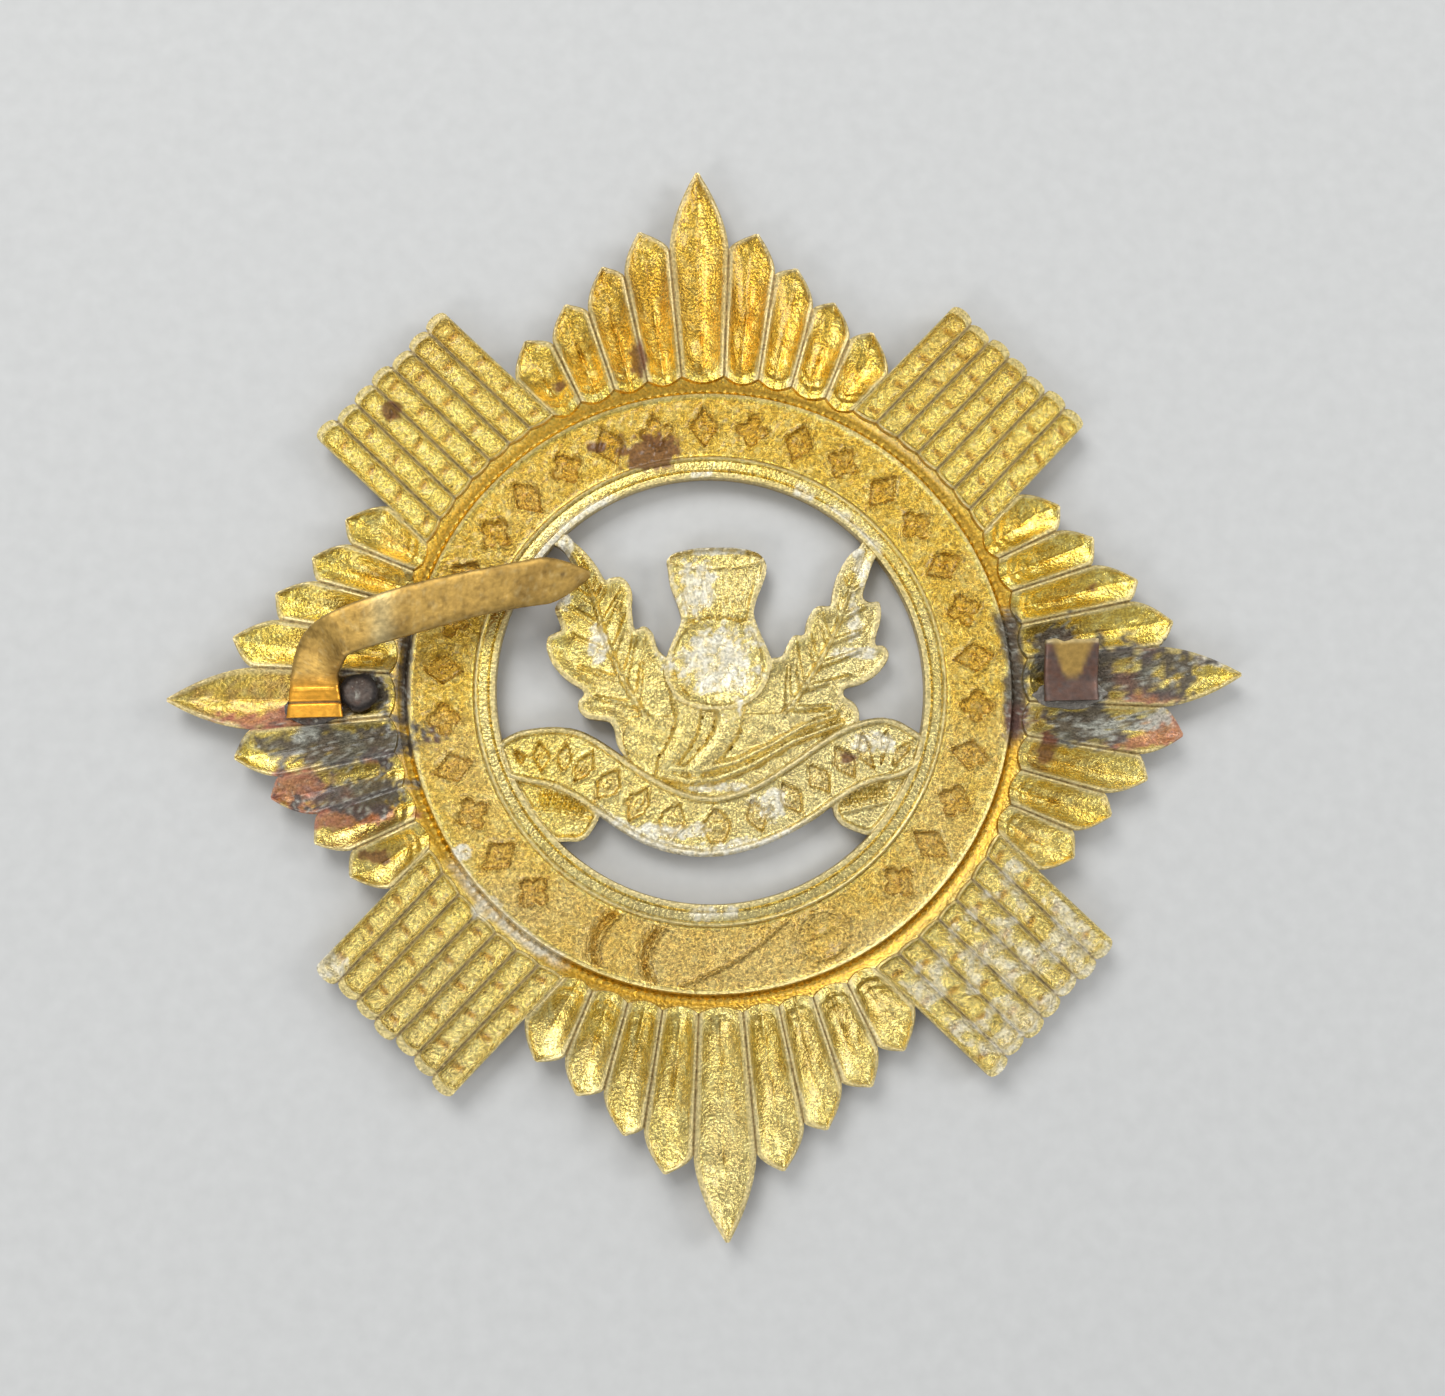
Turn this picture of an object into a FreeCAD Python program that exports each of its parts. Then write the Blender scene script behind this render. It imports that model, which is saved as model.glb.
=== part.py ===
import FreeCAD, Part
import math
import os
import Sketcher

# Die-struck star cap badge, lying face down: +Z is its back, where the two fixing prongs are
# soldered, and z = 0 is the lowest relief of its front. +Y points to the top of the badge and
# the origin is at the star's centre. Everything is in millimetres.

TURN = 360.0
QUARTERS = 4

SIZES = {
    # struck plate
    "sheet_thickness": 0.8,
    "front_relief": 1.1,
    "rim_front": 0.4,
    "field_front": 0.75,
    "hollow_depth": 0.6,
    "hollow_margin": 0.3,
    "relief_taper": 32,
    # small bevels and overlaps
    "ridge_margin": 0.05,
    "overlap": 0.1,
    "edge_bevel": 0.2,
    "border_bevel": 0.3,
    # round strap in the middle of the star
    "opening_radius": 13.2,
    "rim_radius": 14.5,
    "field_radius": 18.5,
    "border_radius": 18.9,
    "strap_radius": 19.9,
    # rays, from the long middle one outwards
    "ray_tip_1": 33.0,
    "ray_tip_2": 29.35,
    "ray_tip_3": 27.5,
    "ray_tip_4": 25.9,
    "ray_tip_5": 24.7,
    "ray_shoulder_1": 28.4,
    "ray_shoulder_2": 26.8,
    "ray_shoulder_3": 25.2,
    "ray_shoulder_4": 24.1,
    "ray_shoulder_5": 23.3,
    "ray_width_1": 3.4,
    "ray_width_2": 2.75,
    "ray_width_3": 2.7,
    "ray_width_4": 2.7,
    "ray_width_5": 2.5,
    "ray_angle_1": 0,
    "ray_angle_2": 7.2,
    "ray_angle_3": 13,
    "ray_angle_4": 19.6,
    "ray_angle_5": 26,
    "ray_waist": 0.85,
    # fluted arms on the diagonals
    "arm_angle": 45,
    "arm_reach": 28.3,
    "arm_base": 18.9,
    "flute_width": 1.6,
    "flute_round": 0.4,
    # thistle and scroll in the opening
    "motif_scale": 1,
    "motif_back": 1.6,
    "leaf_front": 0.5,
    "scroll_front": 0.4,
    "tuft_front": 0.3,
    "scroll_hollow_depth": 0.25,
    "bulb_front": 0.1,
    "bulb_hollow_depth": 0.5,
    "bulb_radius": 2.85,
    "bulb_across": 0.6,
    "bulb_along": 1.75,
    "bulb_wall": 0.6,
    # fixing prongs: brass strip on solder
    "strip_width": 2.9,
    "strip_thickness": 0.55,
    "strip_level": 2.05,
    "prong_across": 24,
    "foot_flare": 3.4,
    "foot_length": 1.65,
    "bend_along": 0.65,
    "bend_clearance": 0.05,
    "elbow_radius": 3.1,
    "elbow_turn": 70,
    "elbow_rise": 2.2,
    "elbow_clearance": 0.25,
    "sweep_radius": 62,
    "sweep_turn": 14,
    "sweep_rise": 1.6,
    "stub_across": 22.1,
    "stub_foot_along": -1.4,
    "stub_foot_length": 1,
    "stub_reach": 2.9,
    "stub_lean": 20,
    # solder
    "solder_height": 0.15,
    "left_bed_across": -24.2,
    "left_bed_along": -0.75,
    "left_bed_length": 3.7,
    "right_bed_along": -0.95,
    "right_bed_length": 4.8,
    "bed_width": 2,
    "blob_radius": 1.25,
    "blob_height": 0.45,
    "blob_across": 21.4,
    "blob_along": 0.2,
}

ELBOW_STEPS = 4
SWEEP_STEPS = 6
TIP_START = 0.87
TIP_SHARE = 0.25
RAYS_PER_SIDE = 5
FLUTES = 7

# Outlines of the pierced centre, in millimetres at motif_scale 1, anticlockwise or clockwise
# in one run. The outermost points lie under the strap, which they join.
LEFT_LEAF = [
    (-10.0, 9.4), (-9.1, 10.3), (-7.8, 9.1), (-6.9, 8.0), (-6.4, 6.7), (-5.6, 7.0),
    (-4.9, 6.5), (-4.7, 3.8), (-4.0, 3.9), (-3.2, 2.2), (-1.0, 1.0), (-0.4, -3.8),
    (-4.0, -5.6), (-6.4, -3.0), (-6.2, -1.9), (-7.8, -1.5), (-8.2, -0.8), (-7.7, 0.1), (-9.3, 1.1),
    (-9.9, 2.4), (-10.0, 3.4), (-9.0, 3.8), (-9.6, 5.0), (-8.6, 7.0),
]
RIGHT_LEAF = [
    (9.9, 9.5), (10.9, 8.2), (9.8, 6.8), (9.4, 5.5), (10.7, 5.2), (10.7, 4.3), (10.2, 2.7),
    (10.9, 2.1), (11.0, 1.4), (10.1, 0.5), (8.3, -0.3), (9.1, -1.2), (9.2, -2.8), (5.0, -5.4),
    (0.6, -6.8), (-0.4, -4.0), (2.2, 1.0), (3.9, 1.8), (5.0, 3.0), (5.9, 3.1), (5.9, 3.8), (6.4, 4.9),
    (7.6, 4.9), (7.9, 7.1), (8.7, 8.3),
]
TUFT = [
    (-2.5, 8.3), (-1.9, 8.7), (0.6, 8.8), (3.1, 8.7), (3.6, 8.2), (3.2, 6.2), (2.7, 4.2),
    (2.0, 2.0), (-0.8, 2.0), (-1.2, 4.2), (-2.0, 6.2),
]
BULB_X = 0.6
SCROLL_CENTRE = (0.0, 0.9)
SCROLL_INNER = 7.5
SCROLL_OUTER = 11.1
SCROLL_BORDER = 0.5
SCROLL_STEPS = 8
SCROLL_LEFT_END = [
    (-7.0, -7.9), (-7.8, -9.0), (-8.7, -9.2), (-9.6, -9.3), (-12.2, -6.5), (-13.4, -3.2),
    (-11.8, -2.3), (-10.3, -2.1), (-8.2, -2.4), (-6.7, -3.1),
]
SCROLL_RIGHT_END = [
    (6.9, -3.5), (8.0, -2.6), (9.1, -2.2), (10.8, -2.1), (12.1, -2.6), (13.4, -3.3),
    (12.2, -6.5), (9.6, -9.6), (8.8, -9.3), (8.0, -8.9), (7.3, -8.1),
]


def make_sheet(doc):
    """Spreadsheet of driving dimensions, one alias for each."""
    sheet = doc.addObject("Spreadsheet::Sheet", "sizes")
    for row, (alias, value) in enumerate(SIZES.items(), start=1):
        sheet.set(f"A{row}", alias)
        sheet.set(f"B{row}", str(value))
        sheet.setAlias(f"B{row}", alias)
    doc.recompute()
    return sheet


def origin_plane(body, role):
    """One of the body's own origin planes."""
    for feature in body.Origin.OriginFeatures:
        if feature.Role == role:
            return feature
    raise ValueError(role)


def make_body(doc, label):
    body = doc.addObject("PartDesign::Body", label)
    body.Label = label
    return body


def make_sketch(body, name, role="XY_Plane", height=None, angle=None):
    """Sketch on an origin plane, lifted and turned by expressions of the sheet."""
    sketch = body.newObject("Sketcher::SketchObject", name)
    sketch.AttachmentSupport = [(origin_plane(body, role), "")]
    sketch.MapMode = "FlatFace"
    if height is not None:
        sketch.setExpression("AttachmentOffset.Base.z", height)
    if angle is not None:
        upright = FreeCAD.Rotation(FreeCAD.Vector(0, 0, 1), 1)
        sketch.AttachmentOffset = FreeCAD.Placement(FreeCAD.Vector(), upright)
        sketch.setExpression("AttachmentOffset.Rotation.Angle", angle)
    return sketch


def add_polygon(sketch, corners, angle="0"):
    """Closed outline whose every corner is bound to expressions, turned about the centre."""
    first = sketch.GeometryCount
    count = len(corners)
    spokes = [math.radians(TURN * index / count) for index in range(count + 1)]
    ring = [FreeCAD.Vector(math.cos(spoke), math.sin(spoke), 0) for spoke in spokes]
    for index in range(count):
        sketch.addGeometry(Part.LineSegment(ring[index], ring[index + 1]))
    for index in range(count):
        follower = first + (index + 1) % count
        sketch.addConstraint(Sketcher.Constraint("Coincident", first + index, 2, follower, 1))
    for index, (along, across) in enumerate(corners):
        places = (
            ("DistanceX", f"({along}) * cos({angle}) - ({across}) * sin({angle})"),
            ("DistanceY", f"({along}) * sin({angle}) + ({across}) * cos({angle})"),
        )
        for kind, expression in places:
            rule = Sketcher.Constraint(kind, -1, 1, first + index, 1, 1.0)
            sketch.setExpression(f"Constraints[{sketch.addConstraint(rule)}]", expression)


def add_circle(sketch, radius, across="0", along="0"):
    """Circle bound to a radius and a centre."""
    circle = sketch.addGeometry(Part.Circle(FreeCAD.Vector(), FreeCAD.Vector(0, 0, 1), 1.0))
    rules = [
        (Sketcher.Constraint("Radius", circle, 1.0), radius),
        (Sketcher.Constraint("DistanceX", -1, 1, circle, 3, 0.0), across),
        (Sketcher.Constraint("DistanceY", -1, 1, circle, 3, 0.0), along),
    ]
    for rule, expression in rules:
        sketch.setExpression(f"Constraints[{sketch.addConstraint(rule)}]", expression)


def add_pad(body, sketch, length, downward=False, taper=None):
    pad = body.newObject("PartDesign::Pad", sketch.Name + "_pad")
    pad.Profile = sketch
    pad.Reversed = downward
    pad.Refine = False
    pad.setExpression("Length", length)
    if taper is not None:
        pad.setExpression("TaperAngle", "-" + taper)
    return pad


def add_pocket(body, sketch, depth, taper=None):
    """Recess cut downwards from the sketch's own height."""
    pocket = body.newObject("PartDesign::Pocket", sketch.Name + "_pocket")
    pocket.Profile = sketch
    pocket.Refine = False
    pocket.setExpression("Length", depth)
    if taper is not None:
        pocket.setExpression("TaperAngle", "-" + taper)
    return pocket


def repeat_quarters(body, name, features):
    """The same features on all four quarters of the star."""
    pattern = body.newObject("PartDesign::PolarPattern", name)
    pattern.Originals = features
    pattern.Axis = (origin_plane(body, "Z_Axis"), [""])
    pattern.Angle = TURN
    pattern.Occurrences = QUARTERS
    pattern.Refine = False
    body.Tip = pattern
    return pattern


def ray_list():
    """Size number and side of each ray in a quarter, in order round the star."""
    sizes = range(1, RAYS_PER_SIDE + 1)
    right = [(index, -1) for index in reversed(sizes)]
    left = [(index, 1) for index in sizes if index > 1]
    return right + left


def ray_corners(index, inset):
    """Ray outline along its own axis: straight flanks to the shoulder, then a point."""
    half = f"(sizes.ray_width_{index} / 2 - {inset})"
    base = f"sizes.strap_radius - sizes.overlap + {inset}"
    shoulder = f"sizes.ray_shoulder_{index} - {inset}"
    tip = f"sizes.ray_tip_{index} - 2 * {inset}"
    return [
        (base, f"-sizes.ray_waist * {half}"),
        (shoulder, f"-{half}"),
        (tip, "0"),
        (shoulder, half),
        (base, f"sizes.ray_waist * {half}"),
    ]


def flute_corners(position, inset):
    """One flute of an arm: a bar along the arm's axis with a blunt outer end."""
    middle = f"{position} * sizes.flute_width"
    half = f"(sizes.flute_width / 2 - {inset})"
    reach = f"sizes.arm_reach - {inset}"
    base = f"sizes.arm_base + {inset}"
    nose = f"{reach} - sizes.flute_round"
    return [
        (base, f"{middle} - {half}"),
        (nose, f"{middle} - {half}"),
        (reach, f"{middle} - {half} / 2"),
        (reach, f"{middle} + {half} / 2"),
        (nose, f"{middle} + {half}"),
        (base, f"{middle} + {half}"),
    ]


def arm_corners():
    """Outline of one whole arm: its flutes side by side, each with a blunt end."""
    flutes = [flute_corners(flute - FLUTES // 2, "0") for flute in range(FLUTES)]
    noses = [corner for flute in flutes for corner in flute[1:4]]
    return [flutes[0][0]] + noses + flutes[-1][4:]


def relief_sketch(body, name, height, inset):
    """Inset outlines of every ray of a quarter and of the flutes of its arm."""
    sketch = make_sketch(body, name, height=height)
    for index, side in ray_list():
        add_polygon(sketch, ray_corners(index, inset), f"{side} * sizes.ray_angle_{index}")
    for flute in range(FLUTES):
        add_polygon(sketch, flute_corners(flute - FLUTES // 2, inset), "sizes.arm_angle")
    return sketch


def scaled(points):
    return [(f"{x:.3f} * sizes.motif_scale", f"{y:.3f} * sizes.motif_scale") for x, y in points]


def arc_points(radius, start, end):
    """Points on an arc about the scroll's centre, angles in degrees."""
    points = []
    for step in range(SCROLL_STEPS + 1):
        spoke = math.radians(start + (end - start) * step / SCROLL_STEPS)
        x = SCROLL_CENTRE[0] + radius * math.cos(spoke)
        y = SCROLL_CENTRE[1] + radius * math.sin(spoke)
        points.append((x, y))
    return points


def scroll_outline():
    """Ribbon that hangs in an arc, its two ends folded against the strap."""
    upper = arc_points(SCROLL_INNER, -141, -39)
    lower = arc_points(SCROLL_OUTER, -50, -130)
    return upper + SCROLL_RIGHT_END + lower + SCROLL_LEFT_END


def make_star(body, flange, back):
    """Flat star blank, then a ridge in front and a hollow behind on every ray and flute."""
    blank = make_sketch(body, "blank", height=flange)
    add_circle(blank, "sizes.strap_radius")
    add_pad(body, blank, "sizes.sheet_thickness")
    rays = []
    for index, side in ray_list():
        sketch = make_sketch(body, f"ray_{index}{'ab'[side > 0]}", height=flange)
        add_polygon(sketch, ray_corners(index, "0"), f"{side} * sizes.ray_angle_{index}")
        rays.append(add_pad(body, sketch, "sizes.sheet_thickness"))
    arm = make_sketch(body, "arm", height=flange)
    add_polygon(arm, arm_corners(), "sizes.arm_angle")
    rays.append(add_pad(body, arm, "sizes.sheet_thickness"))
    repeat_quarters(body, "star_quarters", rays)
    ridges = relief_sketch(body, "ridges", flange, "sizes.ridge_margin")
    ridge_pad = add_pad(body, ridges, "sizes.hollow_depth", downward=True, taper="sizes.relief_taper")
    repeat_quarters(body, "ridge_quarters", [ridge_pad])
    hollows = relief_sketch(body, "hollows", back, "sizes.hollow_margin")
    hollow_pocket = add_pocket(body, hollows, "sizes.hollow_depth", taper="sizes.relief_taper")
    repeat_quarters(body, "hollow_quarters", [hollow_pocket])


def make_strap(body):
    """Round opening, and the strap's rim, field and border in front and behind."""
    opening = make_sketch(body, "opening", height="sizes.front_relief + sizes.sheet_thickness")
    add_circle(opening, "sizes.opening_radius")
    add_pocket(body, opening, "sizes.sheet_thickness")
    front = make_sketch(body, "strap_front", role="XZ_Plane")
    add_polygon(front, [
        ("sizes.opening_radius", "sizes.front_relief"),
        ("sizes.opening_radius", "sizes.rim_front + sizes.edge_bevel"),
        ("sizes.opening_radius + sizes.edge_bevel", "sizes.rim_front"),
        ("sizes.rim_radius - sizes.edge_bevel", "sizes.rim_front"),
        ("sizes.rim_radius", "sizes.field_front"),
        ("sizes.field_radius", "sizes.field_front"),
        ("sizes.border_radius", "0"),
        ("sizes.strap_radius - sizes.border_bevel", "0"),
        ("sizes.strap_radius", "0.5 * sizes.front_relief"),
        ("sizes.strap_radius", "sizes.front_relief"),
    ])
    revolve(body, front, "PartDesign::Revolution")
    behind = make_sketch(body, "strap_back", role="XZ_Plane")
    sheet_top = "sizes.front_relief + sizes.sheet_thickness"
    lip = "sizes.opening_radius + sizes.border_bevel"
    add_polygon(behind, [
        (lip, f"{sheet_top} + sizes.overlap"),
        (f"{lip} + sizes.edge_bevel", "sizes.rim_front + sizes.sheet_thickness"),
        ("sizes.rim_radius - 2 * sizes.edge_bevel", "sizes.rim_front + sizes.sheet_thickness"),
        ("sizes.rim_radius - sizes.overlap", f"{sheet_top} - sizes.ridge_margin"),
        ("sizes.rim_radius + sizes.edge_bevel", "sizes.field_front + sizes.sheet_thickness"),
        ("sizes.field_radius", "sizes.field_front + sizes.sheet_thickness"),
        ("sizes.border_radius - sizes.overlap", "sizes.sheet_thickness"),
        ("sizes.strap_radius - 2 * sizes.border_bevel", "sizes.sheet_thickness"),
        ("sizes.strap_radius", f"{sheet_top} - sizes.edge_bevel"),
        ("sizes.strap_radius", f"{sheet_top} + sizes.overlap"),
    ])
    revolve(body, behind, "PartDesign::Groove")


def revolve(body, sketch, kind):
    """Full turn of a profile about the badge's axis, added or cut."""
    turned = body.newObject(kind, sketch.Name + "_turned")
    turned.Profile = sketch
    turned.ReferenceAxis = (origin_plane(body, "Z_Axis"), [""])
    turned.Angle = TURN
    turned.Refine = False


def make_motif(body):
    """Thistle between two leaves over a hanging scroll, all joined to the strap."""
    outlines = (
        ("left_leaf", LEFT_LEAF, "sizes.leaf_front"),
        ("right_leaf", RIGHT_LEAF, "sizes.leaf_front"),
        ("scroll", scroll_outline(), "sizes.scroll_front"),
        ("tuft", TUFT, "sizes.tuft_front"),
    )
    for name, outline, front in outlines:
        sketch = make_sketch(body, name, height=front)
        add_polygon(sketch, scaled(outline))
        add_pad(body, sketch, f"sizes.motif_back - {front}")
    bulb = make_sketch(body, "bulb", height="sizes.motif_back")
    add_circle(bulb, "sizes.bulb_radius", "sizes.bulb_across", "sizes.bulb_along")
    add_pad(body, bulb, "sizes.motif_back - sizes.bulb_front", downward=True)
    hollow = make_sketch(body, "bulb_hollow", height="sizes.motif_back")
    add_circle(hollow, "sizes.bulb_radius - sizes.bulb_wall", "sizes.bulb_across", "sizes.bulb_along")
    add_pocket(body, hollow, "sizes.bulb_hollow_depth", taper="sizes.relief_taper")
    ribbon = make_sketch(body, "scroll_hollow", height="sizes.motif_back")
    upper = arc_points(SCROLL_INNER + SCROLL_BORDER, -135, -45)
    lower = arc_points(SCROLL_OUTER - SCROLL_BORDER, -45, -135)
    add_polygon(ribbon, scaled(upper + lower))
    add_pocket(body, ribbon, "sizes.scroll_hollow_depth")


def make_plate(doc):
    """Star, strap, thistle and scroll, struck and pierced from one sheet."""
    body = make_body(doc, "badge_plate")
    flange = "sizes.front_relief"
    back = "(sizes.front_relief + sizes.sheet_thickness)"
    make_star(body, flange, back)
    make_strap(body)
    make_motif(body)
    return body


def make_foot(doc):
    """Soldered end of the left prong, flared and cut square, up to its bend."""
    body = make_body(doc, "left_prong_foot")
    end = "sizes.bend_along - sizes.strip_thickness / 2 - sizes.bend_clearance"
    outline = make_sketch(body, "foot_outline", height="sizes.strip_level")
    add_polygon(outline, [
        ("-sizes.prong_across - sizes.strip_width / 2", end),
        ("-sizes.prong_across - sizes.foot_flare / 2", f"{end} - sizes.foot_length"),
        ("-sizes.prong_across + sizes.foot_flare / 2", f"{end} - sizes.foot_length"),
        ("-sizes.prong_across + sizes.strip_width / 2", end),
    ])
    add_pad(body, outline, "sizes.strip_thickness")
    return body


def prong_station(sheet, run, share):
    """Place, heading and climb of the left strip's middle line at a share of one of its runs."""
    value = {alias: float(sheet.get(alias)) for alias in SIZES}
    level = value["strip_level"] + value["strip_thickness"] / 2
    place = FreeCAD.Vector(-value["prong_across"], value["bend_along"], level)
    heading = 90.0
    for name, rise_sign in (("elbow", 1), ("sweep", -1)):
        radius, turn, rise = (value[f"{name}_{word}"] for word in ("radius", "turn", "rise"))
        part = share if name == run else 1.0
        middle = math.radians(heading - turn * part / 2)
        chord = 2 * radius * math.sin(math.radians(turn * part / 2))
        climb = rise_sign * rise * part
        place = place + FreeCAD.Vector(chord * math.cos(middle), chord * math.sin(middle), climb)
        heading = heading - turn * part
        slope = math.degrees(math.atan2(rise_sign * rise, radius * math.radians(turn)))
        if name == run:
            return place, heading, slope
    raise ValueError(run)


def section_frame(place, heading, climb):
    """Placement of a strip section: X across the strip, Y out of its face."""
    yaw = math.radians(heading)
    pitch = math.radians(climb)
    ahead = FreeCAD.Vector(
        math.cos(yaw) * math.cos(pitch), math.sin(yaw) * math.cos(pitch), math.sin(pitch)
    )
    across = FreeCAD.Vector(-math.sin(yaw), math.cos(yaw), 0)
    face = ahead.cross(across)
    return FreeCAD.Placement(place, FreeCAD.Rotation(across, face, ahead, "ZXY"))


def loft_strip(body, sheet, run, shares, widths):
    """Flat strip lofted through sections along one run of the prong's middle line."""
    sections = []
    for index, (share, width) in enumerate(zip(shares, widths)):
        sketch = make_sketch(body, f"{run}_section_{index}")
        sketch.AttachmentOffset = section_frame(*prong_station(sheet, run, share))
        half = f"sizes.strip_width / 2 * {width}"
        rise = "sizes.strip_thickness / 2"
        add_polygon(sketch, [
            (f"-{half}", f"-{rise}"),
            (half, f"-{rise}"),
            (half, rise),
            (f"-{half}", rise),
        ])
        sections.append(sketch)
    loft = body.newObject("PartDesign::AdditiveLoft", f"{run}_strip")
    loft.Profile = sections[0]
    loft.Sections = sections[1:]
    loft.Ruled = True
    loft.Refine = False


def add_bead(body, sheet, run, share):
    """Round edge of the strip about a bend's axis, so that it can turn beside its neighbour."""
    place, heading, _ = prong_station(sheet, run, share)
    yaw = math.radians(heading)
    across = FreeCAD.Vector(-math.sin(yaw), math.cos(yaw), 0)
    bead = make_sketch(body, f"{run}_bead")
    half_width = across * (float(sheet.get("strip_width")) / 2)
    turned = FreeCAD.Rotation(FreeCAD.Vector(0, 0, 1), across)
    bead.AttachmentOffset = FreeCAD.Placement(place - half_width, turned)
    add_circle(bead, "sizes.strip_thickness / 2")
    add_pad(body, bead, "sizes.strip_width")


def make_riser(doc, sheet):
    """Part of the left prong that climbs from the bend at its foot round to its elbow."""
    body = make_body(doc, "left_prong_riser")
    length = float(sheet.get("elbow_radius")) * math.radians(float(sheet.get("elbow_turn")))
    end = 1 - (float(sheet.get("strip_thickness")) / 2 + float(sheet.get("elbow_clearance"))) / length
    shares = [end * step / ELBOW_STEPS for step in range(ELBOW_STEPS + 1)]
    loft_strip(body, sheet, "elbow", shares, [1.0] * len(shares))
    add_bead(body, sheet, "elbow", 0.0)
    return body


def make_blade(doc, sheet):
    """Free end of the left prong: it sweeps from the elbow over the strap to a blunt point."""
    body = make_body(doc, "left_prong_blade")
    shares = [step / SWEEP_STEPS for step in range(SWEEP_STEPS)] + [TIP_START, 1.0]
    widths = [1.0] * SWEEP_STEPS + [1.0, TIP_SHARE]
    loft_strip(body, sheet, "sweep", shares, widths)
    add_bead(body, sheet, "sweep", 0.0)
    return body


def make_stub(doc):
    """Right prong, broken off short: a soldered foot and a leaning remnant."""
    body = make_body(doc, "right_prong_stub")
    side = make_sketch(
        body, "stub_side", role="YZ_Plane", height="sizes.stub_across - sizes.foot_flare / 2"
    )
    foot = "sizes.stub_foot_along"
    toe = f"{foot} + sizes.stub_foot_length"
    reach = "sizes.stub_reach"
    level = "sizes.strip_level"
    top = "sizes.strip_level + sizes.strip_thickness"
    ahead = f"{toe} + {reach} * cos(sizes.stub_lean)"
    climb = f"{reach} * sin(sizes.stub_lean)"
    back = "sizes.strip_thickness * sin(sizes.stub_lean)"
    add_polygon(side, [
        (foot, level),
        (toe, level),
        (ahead, f"{level} + {climb}"),
        (f"{ahead} - {back}", f"{top} + {climb}"),
        (toe, top),
        (foot, top),
    ])
    add_pad(body, side, "sizes.foot_flare")
    return body


def make_solder_bed(doc, side, across):
    """Flat pool of solder between the plate's back and the foot of the prong on that side."""
    label = side + "_solder_bed"
    outline = doc.addObject("Part::Ellipse", label + "_outline")
    outline.setExpression("MajorRadius", f"sizes.{side}_bed_length / 2")
    outline.setExpression("MinorRadius", "sizes.bed_width / 2")
    bed = doc.addObject("Part::Extrusion", label)
    bed.Label = label
    bed.Base = outline
    bed.DirMode = "Custom"
    bed.Dir = FreeCAD.Vector(0, 0, 1)
    bed.Solid = True
    bed.setExpression("LengthFwd", "sizes.solder_height")
    bed.setExpression("Placement.Base.x", across)
    bed.setExpression("Placement.Base.y", f"sizes.{side}_bed_along")
    bed.setExpression("Placement.Base.z", "sizes.front_relief + sizes.sheet_thickness")
    return bed


def make_blob(doc):
    """Round drop of solder beside the left prong's bend."""
    blob = doc.addObject("Part::Ellipsoid", "solder_blob")
    blob.Label = "solder_blob"
    blob.Angle1 = 0
    blob.setExpression("Radius1", "sizes.blob_height")
    blob.setExpression("Radius2", "sizes.blob_radius")
    blob.setExpression("Placement.Base.x", "-sizes.blob_across")
    blob.setExpression("Placement.Base.y", "sizes.blob_along")
    blob.setExpression("Placement.Base.z", "sizes.front_relief + sizes.sheet_thickness")
    return blob


def write_parts(doc, parts):
    """Check every feature and solid, then write one STEP file for each sub-part."""
    for item in doc.Objects:
        faults = {"Invalid", "Error"}.intersection(item.State)
        if faults:
            raise RuntimeError(f"{item.Name}: {faults}")
    for part in parts:
        if part.Shape.isNull() or not part.Shape.isValid() or len(part.Shape.Solids) != 1:
            raise RuntimeError(f"{part.Label}: no valid single solid")
    os.makedirs("parts", exist_ok=True)
    for part in parts:
        part.Shape.exportStep(f"parts/{part.Label}.step")
        print(part.Label, round(part.Shape.Volume, 2))


def main():
    doc = FreeCAD.newDocument("cap_badge")
    sheet = make_sheet(doc)
    parts = [
        make_foot(doc),
        make_riser(doc, sheet),
        make_blade(doc, sheet),
        make_stub(doc),
        make_solder_bed(doc, "left", "sizes.left_bed_across"),
        make_solder_bed(doc, "right", "sizes.stub_across"),
        make_blob(doc),
        make_plate(doc),
    ]
    doc.recompute()
    write_parts(doc, parts)


main()
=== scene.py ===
import math

import bpy
import numpy as np
from mathutils import Matrix, Vector


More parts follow.
